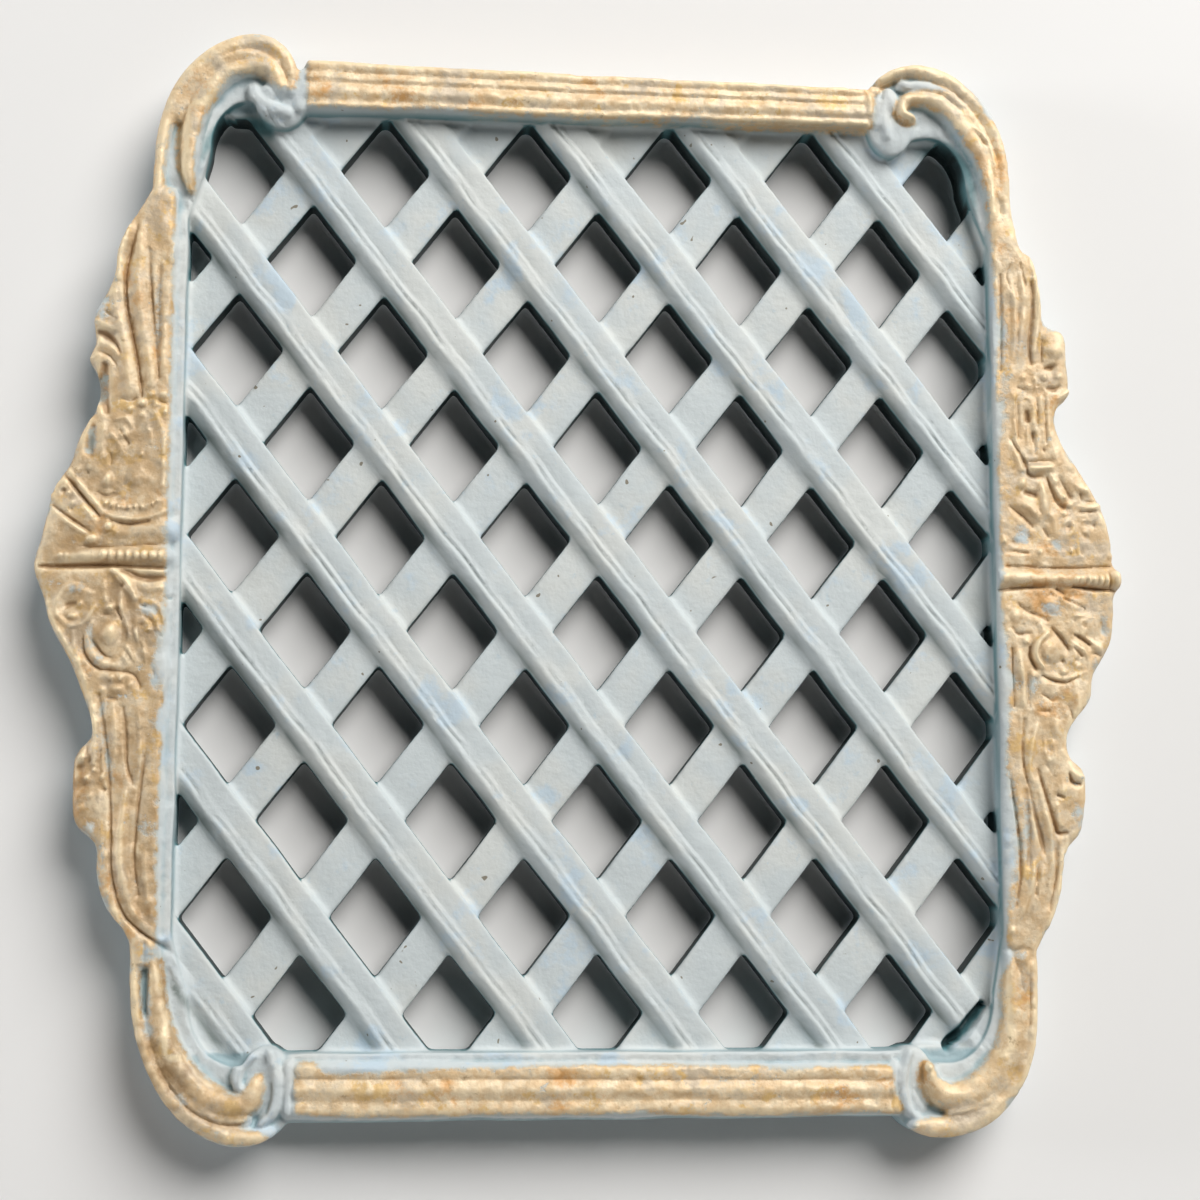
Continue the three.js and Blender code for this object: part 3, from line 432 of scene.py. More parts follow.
rightStrokes = [
    [(97.8, 74, 0.8, 14.6), (97.5, 60, 0.9, 14.9), (97.5, 48, 0.9, 14.8), (98, 40, 0.9, 15),
     (98.2, 24, 0.9, 15.1), (98.1, 12, 0.8, 14.9)],
    [(101.2, 75, 0.9, 15.2), (102.6, 69, 1.1, 15.9), (102.6, 60, 1, 15.8), (101.9, 54, 0.9, 15.5),
     (101.1, 46.6, 0.8, 15.2)],
    [(103.6, 81, 1, 15), (104.9, 75, 1.4, 15.8), (105, 67, 1.6, 15.8), (104, 58, 1.5, 15.7),
     (103, 50, 1.2, 15.4)],
    [(106.4, 81, 0.8, 15), (107.9, 76, 0.9, 15.8), (108.7, 70, 0.9, 16), (108.5, 65, 1, 16),
     (107.8, 59, 1.2, 16), (107, 53.6, 0.8, 15.6)],
    [(97.4, 79.8, 1, 15.2), (99, 77.6, 1, 15.6), (99.2, 74.6, 0.7, 15.2)],
    [(102.3, 44.6, 0.6, 15.5), (102.2, 36, 0.7, 15.7), (102.8, 31, 0.7, 15.7), (104.8, 28.7, 0.6, 15.5)],
    [(104, 43.2, 0.55, 15.8), (104, 37.4, 0.55, 15.6)],
    [(104.6, 44.2, 0.5, 15.7), (106.4, 43.6, 0.6, 15.9), (107.1, 40.6, 0.6, 15.9),
     (107, 37.4, 0.55, 15.8), (108, 33.8, 0.6, 15.9), (107.6, 30.4, 0.5, 15.6)],
    [(105.2, 36.4, 0.5, 15.7), (105.4, 32.6, 0.6, 15.8), (106.2, 30.4, 0.5, 15.6)],
    [(108.8, 44.6, 0.6, 15.8), (109, 38, 0.5, 15.6), (109.2, 33, 0.5, 15.5)],
    [(110.5, 45, 0.6, 15.8), (110.6, 38, 0.6, 15.6), (111.4, 32.6, 0.8, 15.6), (112.6, 28.4, 0.9, 15.6)],
    [(113.2, 43.8, 0.9, 15.6), (115.5, 45.6, 1, 15.9)],
    [(105.4, 26.4, 1.1, 16.6), (110.8, 26.7, 1.1, 16.6)],
    [(100.4, 33, 0.7, 15.3), (102.2, 29.4, 0.9, 15.8), (103.4, 26.2, 0.9, 15.9)],
    [(108.2, 22.6, 0.8, 15.8), (108.9, 19.4, 1.5, 16.4), (109.3, 16, 1.6, 16.4),
     (107.8, 12.4, 0.8, 15.6)],
    [(102.6, 17.8, 0.9, 15.5), (105.6, 16.4, 1.5, 16.2), (107.8, 13.6, 1.1, 16)],
    [(110.8, 25, 0.8, 15.6), (112.2, 21.6, 0.9, 15.9), (113.4, 18.6, 0.9, 15.9)],
    [(114.6, 24.6, 1, 15.2), (117.4, 21.8, 1.4, 15.5), (119.8, 20.6, 1.2, 15.6)],
    [(117.2, 17, 0.7, 15.6), (120, 16.7, 0.8, 15.7), (122.8, 17.2, 0.7, 15.3)],
    [(117, 7.4, 0.5, 15.3), (116.9, 11, 0.5, 15.5), (118.4, 13.4, 0.5, 15.6), (120.6, 13.6, 0.6, 15.6)],
    [(122.9, 14.6, 0.9, 15.3), (123.9, 11.6, 0.9, 15.3), (123.6, 8.4, 0.6, 15)],
    [(113.5, 12.2, 0.5, 15.7), (115, 13.8, 0.5, 15.8), (116.4, 12.2, 0.5, 15.7), (115, 10, 0.5, 15.7),
     (113.6, 11, 0.4, 15.6)],
    [(110.5, 14.8, 0.9, 15.7), (111.6, 12.6, 1, 15.8), (111.6, 10, 0.7, 15.5)],
    [(99.6, 7.2, 0.6, 15.3), (102.4, 6.2, 0.8, 15.5), (105.6, 6.2, 0.6, 15.3)],
    [(101, 12.2, 0.7, 15.2), (103.6, 11.2, 1, 15.4), (106.4, 9.8, 0.8, 15.3)],
    [(109.2, 7.4, 0.4, 15.4), (110.8, 4.9, 0.4, 15.3)], [(111.2, 9, 0.4, 15.3), (112.9, 5.2, 0.5, 15.3)],
    [(113.3, 9, 0.4, 15.4), (114.2, 5.4, 0.5, 15.3)], [(117.2, 7, 0.4, 15.4), (117.2, 5.2, 0.4, 15.3)],
    [(109.9, -3.7, 0.6, 15.6), (107.4, -6.4, 0.6, 15.8), (105.4, -9, 0.5, 15.6)],
    [(109.9, -3.7, 0.6, 15.6), (112.8, -6, 0.5, 15.8), (117, -8.4, 0.5, 15.6)],
    [(108.9, -14.2, 0.9, 17.2), (106.5, -16.6, 1, 17.4), (105.9, -19.6, 0.9, 17.3),
     (107.6, -22.4, 0.8, 16.8)],
    [(107.4, -12, 0.7, 16), (108.2, -14.2, 0.8, 16.4)],
    [(102, -19.4, 1.5, 16.4), (102.3, -23, 1.4, 16.3), (102.7, -27, 0.8, 16), (102.3, -31.4, 0.8, 15.8)],
    [(101.6, -33.4, 0.6, 15.5), (102, -38.6, 0.6, 15.4)],
    [(114.4, -9.8, 0.6, 15.5), (117.6, -10, 0.7, 15.7), (120.8, -11.2, 0.6, 15.6),
     (121.8, -14.2, 0.6, 15.4)],
    [(116.8, -12, 0.45, 15.7), (118.4, -10.9, 0.45, 15.9), (119.8, -12.2, 0.45, 15.9),
     (119.6, -14, 0.45, 15.7), (118, -14, 0.4, 15.6)],
    [(115.2, -13.4, 0.5, 15.6), (119.4, -15.9, 0.6, 15.8), (121.6, -17.4, 0.8, 15.8)],
    [(115, -16.2, 0.5, 15.7), (118, -18.2, 0.6, 15.8), (119.4, -20.6, 0.6, 15.6), (119, -23, 0.6, 15.3)],
    [(115, -18.6, 0.45, 15.6), (115.2, -21, 0.45, 15.8), (117, -22, 0.45, 15.7),
     (117.8, -20.2, 0.45, 15.6)],
    [(106.8, -23.8, 0.6, 15.4), (110, -24.7, 0.6, 15.7), (113.6, -24.9, 0.6, 15.8),
     (118.6, -23.4, 0.6, 15.5)],
    [(104.8, -27.2, 0.8, 15.3), (105.8, -23.8, 0.9, 15.6), (107, -26.4, 0.8, 15.4)],
    [(105.8, -31, 0.9, 15.3), (108, -31.8, 1, 15.5)], [(109, -28.4, 1, 15.2), (110.8, -28.2, 1, 15.3)],
    [(115.6, -27.8, 1.2, 15.4), (116.2, -30.6, 1.4, 15.6), (115.4, -33.8, 0.9, 15.2)],
    [(105.6, -36.4, 0.8, 15.8), (104.4, -41.4, 1.2, 16.1), (103.7, -47, 1, 15.8),
     (105, -50.6, 0.9, 15.8)],
    [(107.8, -40.6, 0.4, 15.7), (108.9, -39.8, 0.4, 15.8), (110, -41, 0.4, 15.8), (110, -43.8, 0.4, 15.8),
     (108.8, -45, 0.4, 15.7), (107.8, -43.6, 0.4, 15.7), (107.7, -41, 0.4, 15.7)],
    [(103.4, -50, 0.6, 15.2), (104.2, -55, 0.7, 15.4), (104.6, -60, 0.6, 15.2)],
    [(105.4, -49, 0.8, 15.6), (106.9, -55, 1.2, 16), (108.2, -61, 1.2, 16.1), (108.7, -68, 1.1, 15.8),
     (107.7, -76, 0.9, 15.4)],
    [(104.2, -69.6, 0.8, 15.6), (103.8, -73.6, 1.1, 16.1), (102.2, -79, 1, 15.9),
     (99.4, -84.6, 0.8, 15.2)],
    [(106.2, -68, 0.8, 15.3), (105.8, -75, 1, 15.5), (103.6, -82, 1, 15.3)],
    [(111, -64, 0.9, 15.4), (110.9, -71, 1.1, 15.8), (109.7, -78, 1.1, 15.7), (107.4, -84.4, 0.9, 15.2)],
    [(99, -51, 0.7, 15), (98.9, -62, 0.8, 15), (99.3, -72, 0.9, 15), (98.4, -81, 0.8, 14.8)],
    [(98.2, -14, 0.9, 15), (98.7, -30, 1, 15), (99, -46, 0.9, 15)],
    [(113.6, -46, 0.8, 15.6), (115.4, -48.4, 1.1, 16), (117, -48.9, 0.9, 15.6)],
    [(110.4, -55.4, 0.8, 15.6), (111.4, -60.4, 0.9, 15.9)],
    [(112.4, -64, 1.2, 15.4), (111.8, -67, 0.9, 15.3)],
]
# Rounded lumps: x, up, half width, half height, crest.
lumps = [
    (-79.6, 116.4, 3.2, 3.2, 14.7), (101.4, -91.8, 2.8, 2.8, 15.1), (102.6, -94.4, 2.4, 3.4, 15),
    (-104.6, -89.6, 3, 3, 14.9), (-104.8, 81, 3.6, 6.8, 15.4), (-118.8, -52, 3.4, 9.4, 15.3),
    (-119.2, -50.2, 1, 1, 16.4), (-117.6, -48.4, 0.8, 0.9, 16.3), (-120.4, -45.6, 1.6, 1.7, 15.8),
    (-118.4, -54.6, 1.6, 1.2, 15.7), (-120.2, -57, 1.2, 1.6, 15.4), (-117, -57.4, 1.2, 1.3, 15.5),
    (-118.2, -61.6, 2, 1.6, 14.9), (-120.8, -53.6, 0.9, 1.3, 15.6), (-115.7, -50, 0.9, 1.4, 15.6),
    (-109, 38.5, 1.5, 1.4, 16.1), (-103.9, 40.6, 1.6, 1.5, 16), (-105.7, 38.2, 1.3, 1, 15.8),
    (-109, 35.8, 1, 0.9, 16), (-113.2, 30.8, 1.1, 1, 15.9), (-111.8, 37, 1.3, 1.1, 15.7),
    (-106.8, 40.6, 1.2, 1, 15.7), (-103.3, 36.4, 0.8, 1.1, 15.8), (-110, 21, 4.8, 5.6, 15.2),
    (-116.4, 19.8, 1.7, 2.9, 16.2), (-119.6, 5.8, 2, 1.6, 16.5), (-115.9, 8.6, 1.4, 1.7, 16.7),
    (-126.3, 18.2, 1.1, 0.7, 15.6), (-125.2, 16.8, 0.8, 0.8, 15.7), (-124.3, 14.4, 0.7, 0.7, 15.6),
    (-108.8, 26.2, 0.8, 0.7, 15.9), (-123.4, 22.6, 1.6, 1.7, 15.2), (-120.8, 23, 1.3, 2, 15.2),
    (-115.1, -16.4, 2.9, 3.6, 16.5), (-115.2, -10.4, 1.2, 1.1, 16.2), (-121.8, -9.6, 0.9, 1.1, 15.6),
    (-123.4, -12.4, 2.2, 1.2, 15.7), (-113, -29.4, 2.6, 1.5, 15.6), (-116.2, -29.6, 1.2, 1, 15.4),
    (-110.2, -28.4, 1.2, 1.6, 15.5), (-114.4, -27, 0.8, 1.6, 15.5), (-112.2, -27, 0.7, 1.4, 15.5),
    (-106, -15.4, 1.3, 0.8, 15.7), (-108.6, -17.2, 0.8, 0.8, 15.8), (112.6, 56, 3.2, 3.8, 15.6),
    (109.6, 49, 0.8, 1.2, 16), (107.2, 48.6, 0.8, 1.1, 15.9), (104.4, 49, 1, 1.2, 15.6),
    (113.4, 49.4, 2.2, 1.4, 15.5), (105.6, 47, 1, 0.8, 15.7), (103.6, 22.8, 1.6, 1.9, 15.7),
    (111.9, 23.2, 1, 1.1, 15.9), (113.7, 19.2, 1, 1.1, 16.1), (115.5, 17.2, 0.9, 0.9, 16),
    (119.7, 20.9, 1.3, 1.6, 15.8), (119.2, 10.2, 2.1, 2.1, 15.1), (113.9, 15, 0.8, 0.8, 16),
    (98.8, 8.3, 0.8, 1.3, 16), (107.4, 5.7, 1.1, 1.1, 16.2), (115.3, 6.1, 0.8, 1.1, 15.9),
    (103, 9, 2.4, 1.6, 15), (126.4, -0.9, 1.1, 2.7, 17.4), (110.2, -7.4, 3.8, 3.2, 15.7),
    (101.2, -10.2, 2.6, 2.5, 15.9), (99.4, -8.4, 1.2, 1.4, 15.6), (109.3, -18.4, 4.1, 4.2, 16.2),
    (103.7, -16.2, 1.4, 1.3, 16), (122, -17.5, 1.4, 1.6, 15.7), (112.8, -23.5, 1.1, 0.9, 16.1),
    (110.6, -37, 3, 5.4, 15.3), (112, -52, 2.4, 5, 15.2), (98.6, -85.6, 1.3, 1.2, 15.8),
    (116, -19.4, 2.6, 3, 15), (118.4, -13, 3, 3.4, 15.1), (72.6, 118.5, 2.4, 4, 15),
    (67.2, 117.2, 1.2, 4.6, 15.8), (74.4, -130.9, 1.8, 1, 16), (77.6, -117.6, 1.4, 1.5, 16.8),
]
# Cut lines and pits: x, up, half width, depth.
cuts = [
    [(-110.9, 82, 0.5, 0.8), (-112.4, 76, 0.55, 1.5), (-113.6, 69, 0.6, 1.7), (-113.2, 62, 0.6, 1.8),
     (-111.9, 56, 0.6, 1.8), (-110.6, 50, 0.6, 1.7), (-109.6, 44, 0.55, 1.5), (-109.2, 40, 0.5, 1)],
    [(-108.3, 76, 0.5, 0.7), (-107.7, 68, 0.5, 1.1), (-106.9, 60, 0.5, 1.2), (-106, 52, 0.5, 1.2),
     (-105.3, 44.6, 0.5, 1.1)],
    [(-105.6, 72, 0.7, 0.7), (-105.5, 48, 0.7, 0.7)],
    [(-119.4, 55.6, 0.8, 1.6), (-117.6, 54.6, 1.1, 1.9), (-115.4, 53, 0.7, 1.4),
     (-114.2, 50.6, 0.5, 0.9)],
    [(-118, 60.4, 0.4, 1), (-115.4, 58.8, 0.4, 0.8)],
    [(-119.6, 51, 0.45, 0.9), (-116.8, 49.8, 0.45, 1.1), (-115.2, 47.6, 0.45, 0.8)],
    [(-118, 47.4, 1.2, 1.8), (-118.1, 41.6, 1.5, 2), (-117.2, 36.4, 1, 1.5)],
    [(-114.4, 39.6, 0.4, 0.8), (-111.6, 39, 0.4, 1), (-110.2, 39.8, 0.4, 1)],
    [(-104.9, 38.9, 0.4, 0.9), (-103, 38.4, 0.4, 1)],
    [(-120.2, 32.8, 0.9, 1.1), (-120.8, 28, 1.5, 1.5), (-120.4, 25.8, 0.8, 0.9)],
    [(-113.9, 31.9, 0.35, 0.8), (-111.9, 28.9, 0.4, 1.2)], [(-116, 26, 0.5, 0.9), (-115.8, 24, 0.5, 0.8)],
    [(-118.1, 11.2, 0.45, 1.3), (-122, 15.8, 0.55, 1.7), (-126.4, 21.2, 0.45, 1.2)],
    [(-120.2, 7.6, 0.4, 1), (-124, 10.2, 0.5, 1.4), (-128.8, 13.8, 0.5, 1.2)], [(-126.4, 17.4, 0.8, 0.9)],
    [(-124.6, 12.9, 0.5, 0.9)], [(-124.8, 15.6, 0.4, 0.6)], [(-121.2, 21.6, 0.5, 0.8)],
    [(-119.4, 11.9, 0.25, 0.5), (-123.2, 16.2, 0.25, 0.5)],
    [(-119, 10.8, 0.25, 0.4), (-122.6, 15, 0.25, 0.4)],
    [(-118.4, 16.6, 0.5, 0.8), (-116.4, 15.8, 0.6, 1), (-114, 16.4, 0.5, 0.8)],
    [(-115.6, 10, 0.4, 0.9), (-111, 9.3, 0.5, 1.3), (-106.6, 10, 0.45, 1)],
    [(-121.4, 4, 0.4, 0.8), (-118.6, 3.7, 0.4, 1), (-113, 4, 0.4, 0.8), (-103, 4.7, 0.4, 0.8)],
    [(-131.4, -0.8, 0.6, 1.6), (-120.6, -0.6, 0.8, 2.2), (-113, -0.6, 0.6, 1.6), (-102.8, -1, 0.6, 1.5)],
    [(-112.4, -1.6, 0.8, 1.2), (-107.6, -3.4, 1.1, 1.7), (-103, -3.2, 0.9, 1.4)],
    [(-113.7, -2.8, 0.3, 0.6), (-110.2, -7.2, 0.3, 0.6)],
    [(-102.6, -7.8, 0.5, 1), (-101.4, -8, 0.5, 0.9)], [(-124.8, -9.8, 1.1, 1.4), (-123.2, -9.4, 0.8, 1)],
    [(-120, -10.6, 0.5, 0.7)], [(-112.5, -5.3, 0.5, 1.2)],
    [(-113.9, -10.6, 0.4, 0.9), (-112.6, -13, 0.4, 1.1)],
    [(-117, -12, 0.4, 1), (-115.2, -12.1, 0.35, 0.8)],
    [(-119.5, -17.6, 0.35, 1), (-118.2, -19.4, 0.45, 1.4), (-116.6, -21.3, 0.45, 1.4),
     (-114.8, -22.1, 0.4, 1)],
    [(-121, -17, 0.4, 0.7), (-120.9, -20.4, 0.4, 1.1), (-119.3, -23.3, 0.45, 1.3),
     (-117, -24.9, 0.45, 1.2), (-113.8, -25.2, 0.45, 1.1), (-110.6, -25.6, 0.45, 1.2),
     (-109, -26.4, 0.45, 1.2), (-107.8, -29.2, 0.4, 1)],
    [(-111.4, -20.4, 0.25, 0.7), (-109.6, -23.2, 0.25, 0.6)],
    [(-108.4, -16.6, 0.3, 0.9), (-107.6, -19.8, 0.3, 0.9)],
    [(-107.2, -10.1, 0.5, 1), (-108.6, -9.6, 0.4, 0.7)],
    [(-107.4, -12.4, 0.3, 0.7), (-105.6, -13.6, 0.3, 0.8)], [(-108, -14.4, 0.4, 0.8)],
    [(-103.4, -16.9, 0.5, 0.9)], [(-105, -25, 0.4, 0.9), (-104.3, -26.8, 0.4, 0.8)],
    [(-115, -31.6, 0.5, 1.2), (-113, -31.9, 0.5, 1.1)], [(-114.9, -27.8, 0.3, 0.7)],
    [(-117.1, -31, 0.6, 0.9), (-115.9, -38, 0.7, 1.1), (-114.8, -45, 0.6, 1.2), (-113.9, -54, 0.6, 1.2),
     (-113.5, -62, 0.6, 1.3), (-113.3, -70, 0.5, 1.2), (-111.9, -77, 0.5, 1.3), (-109.9, -81.6, 0.5, 1.6),
     (-107, -84.7, 0.5, 1.6), (-103, -87.6, 0.5, 1.4), (-98.4, -90.9, 0.5, 1)],
    [(-111.4, -34, 0.6, 1), (-110.6, -41, 0.7, 1.1), (-110.2, -47, 0.5, 1.2), (-108.8, -51.6, 0.4, 1)],
    [(-106.2, -45, 0.5, 1), (-107.2, -54, 0.5, 1.2), (-107.9, -63, 0.5, 1.2), (-107.9, -70, 0.5, 1.2),
     (-106.8, -77, 0.5, 1)],
    [(-120.9, -48, 1, 1.3)], [(-115.2, -52.9, 0.7, 1.1)], [(-119.6, -52.2, 0.5, 0.8)],
    [(-117, -46.4, 0.4, 0.7)], [(-119.4, -43, 0.4, 0.8), (-119.9, -46, 0.4, 0.8)],
    [(-116.4, -44, 0.4, 0.7), (-116.6, -48, 0.4, 0.7)],
    [(99.4, 75, 0.5, 1.1), (99.3, 60, 0.5, 1.3), (98.9, 50, 0.4, 1)],
    [(102, 78, 0.4, 0.8), (101, 74.6, 0.35, 0.8), (102.2, 71, 0.4, 0.8)],
    [(104.4, 78, 0.4, 1), (105.6, 72.4, 0.4, 1.1)],
    [(107.1, 73.4, 0.5, 1.2), (107.2, 66, 0.6, 1.3), (106.2, 58, 0.6, 1.2), (106.6, 52.6, 0.6, 1.3)],
    [(103.6, 66, 0.3, 0.4), (103.2, 57, 0.3, 0.5)], [(109.4, 58.6, 0.4, 1), (109.2, 53, 0.4, 1)],
    [(110.2, 51.6, 0.6, 1.5), (111.6, 51.7, 0.8, 1.8), (112.4, 52.3, 0.5, 1)],
    [(110.6, 46.4, 0.6, 1.3), (112.2, 46.2, 0.8, 1.6), (113.6, 47.2, 0.4, 0.8)], [(108, 50.6, 0.35, 0.9)],
    [(108.3, 47.2, 0.4, 1)], [(103.2, 46.6, 0.5, 1), (105, 46.1, 0.4, 0.8)],
    [(105.4, 40.6, 0.8, 1.5), (105.6, 38.6, 0.9, 1.9)],
    [(106.6, 35.4, 0.4, 1.2), (106.7, 33.4, 0.4, 1.3)], [(109.3, 31.2, 0.6, 1.3)],
    [(103, 43, 0.25, 0.7), (103, 34, 0.25, 0.7)], [(109.8, 43, 0.3, 0.8), (109.9, 33, 0.3, 0.8)],
    [(107.9, 43.6, 0.25, 0.7), (108, 37, 0.25, 0.7)],
    [(105.6, 28.2, 0.4, 0.8), (108, 28.4, 0.4, 1), (111.4, 28.5, 0.4, 0.9)],
    [(105, 25.2, 0.5, 1.2), (106.4, 24.4, 0.6, 1.4), (108.6, 24.6, 0.5, 1)],
    [(100.9, 34, 0.35, 0.9), (102.6, 31, 0.45, 1.2), (104.3, 28, 0.45, 1.3), (105, 25.6, 0.5, 1.3)],
    [(101.2, 26.4, 0.4, 0.8)], [(104.6, 20.4, 0.9, 1.5), (106.8, 19.8, 0.9, 1.8)],
    [(103.3, 21, 0.4, 0.8)],
    [(109.9, 24.4, 0.4, 1.2), (111, 21, 0.5, 1.5), (112.4, 17.8, 0.4, 1.2), (113.8, 16.8, 0.7, 1.5)],
    [(113, 24.4, 0.4, 1), (114.6, 21.4, 0.45, 1.3), (115.6, 19.4, 0.7, 1.6)],
    [(118.2, 20, 0.5, 1.1), (118.4, 18.8, 0.4, 0.9)], [(118, 15.5, 0.4, 1), (121.8, 15.8, 0.4, 1)],
    [(119.4, 18.2, 0.3, 0.8), (121.6, 18.2, 0.3, 0.7)],
    [(100.6, 16.8, 0.4, 0.9), (103.4, 14.7, 0.5, 1.4), (106, 12, 0.5, 1.2)], [(121.3, 12.4, 0.7, 1.1)],
    [(119, 9.8, 0.8, 0.8)], [(115, 11.9, 0.7, 0.9)], [(108.8, 11.4, 0.5, 1.2), (109.8, 9.6, 0.5, 1.2)],
    [(101.2, 8, 0.7, 0.9)], [(105, 9, 0.5, 0.8)], [(99.8, 5.6, 0.35, 0.8), (104.6, 5.2, 0.35, 0.8)],
    [(110.2, 7.6, 0.3, 0.8)], [(117.6, 7.4, 0.3, 0.8), (118, 5.4, 0.4, 0.9)],
    [(99, 2, 0.4, 1.2), (108, 1.8, 0.4, 1.2), (125.6, 2.3, 0.4, 1.2)],
    [(97.6, -3.8, 0.5, 1.4), (104, -3.2, 0.5, 1.3), (108.6, -3, 0.4, 1.2)],
    [(111.6, -3.4, 0.5, 1.4), (113.4, -4.6, 0.4, 1)],
    [(115.6, -2.8, 0.5, 1.3), (120, -3.2, 0.6, 1.6), (126, -3.6, 0.5, 1.4)],
    [(124.6, 1, 0.4, 1), (124.8, -2.8, 0.4, 1.2)], [(108.6, -2.4, 0.3, 0.6), (108.6, 0, 0.25, 0.3)],
    [(101.6, -7, 0.35, 0.8), (104.4, -9, 0.45, 1.2), (107.6, -10.4, 0.4, 1), (109.2, -11.2, 0.4, 1)],
    [(113.2, -5.8, 0.35, 0.8), (118.2, -8, 0.35, 0.8)], [(115.8, -11, 0.5, 1)], [(118.3, -12.4, 0.6, 1)],
    [(115.9, -14.5, 0.4, 1), (117.6, -15.3, 0.6, 1.8), (119.6, -16.8, 0.5, 1.4)],
    [(122.6, -10.6, 0.35, 0.8), (122.8, -13.4, 0.35, 0.8)],
    [(110.2, -12.8, 0.4, 1), (112.4, -15.2, 0.6, 1.8), (114.2, -17.8, 0.5, 1.4)],
    [(112.8, -20.8, 0.6, 1.4)], [(110.6, -18.6, 1.6, 0.5)],
    [(104.8, -17.6, 0.5, 1.3), (104.7, -20.2, 0.5, 1.4), (106, -22.9, 0.5, 1.3)],
    [(100.4, -13, 0.4, 0.9), (101.8, -14.4, 0.5, 1.3), (105, -14.2, 0.4, 1)], [(98.3, -12.2, 0.4, 1)],
    [(115.8, -17.6, 0.35, 0.9), (117.6, -19.6, 0.4, 1.2)], [(116.3, -20.6, 0.4, 0.8)],
    [(120.7, -18.9, 0.4, 1), (122.2, -19.4, 0.4, 1)],
    [(107.6, -24.4, 0.4, 1), (110.4, -25.6, 0.45, 1.3), (113.4, -26, 0.45, 1.3),
     (116.6, -24.6, 0.35, 0.8)],
    [(100.2, -18, 0.4, 1), (100.3, -32, 0.4, 1)], [(104, -24, 0.4, 1), (103.8, -32, 0.4, 0.9)],
    [(107.2, -28.8, 0.35, 1), (109.8, -30.4, 0.4, 1.3)], [(106.8, -33.2, 0.3, 0.8), (109, -33, 0.4, 1.1)],
    [(106, -25.4, 0.35, 0.6)], [(113.8, -31.6, 0.35, 0.9), (114.8, -34.6, 0.4, 1)],
    [(108.9, -42.4, 0.6, 0.7)],
    [(102.7, -35, 0.4, 1), (102.2, -42, 0.45, 1.3), (102.6, -47.6, 0.45, 1.3), (103.8, -52, 0.4, 1),
     (105, -58, 0.7, 1.2), (106.4, -64, 0.9, 1.6), (106.8, -67, 0.5, 1)],
    [(105.8, -47, 0.4, 1.2), (107.2, -51.4, 0.5, 1.5), (108.7, -56.4, 0.5, 1.5), (109.8, -60.6, 0.5, 1.6),
     (110.6, -62.4, 0.6, 1.8), (112.6, -62.2, 0.5, 1.3)],
    [(113.6, -48, 0.4, 1.3), (114.4, -50, 0.6, 1.9), (116.4, -50.6, 0.5, 1.6)],
    [(110.8, -53.2, 0.5, 1.3), (112.2, -53.8, 0.5, 1.1)],
    [(99.1, -49.6, 0.4, 0.9), (100, -56, 0.5, 1.5), (100.8, -64, 0.55, 1.6), (101, -73, 0.5, 1.4),
     (99.8, -80, 0.45, 1.1)],
    [(102.9, -52, 0.8, 0.9), (103.4, -62, 0.9, 1), (103, -70, 0.7, 0.8)],
    [(109.7, -66, 0.4, 0.9), (109.6, -73, 0.4, 1), (108, -80, 0.4, 0.8)],
    [(105, -71, 0.3, 0.8), (104.6, -77, 0.3, 0.8)], [(108, -46, 0.4, 0.7), (110, -49, 0.3, 0.5)],
]
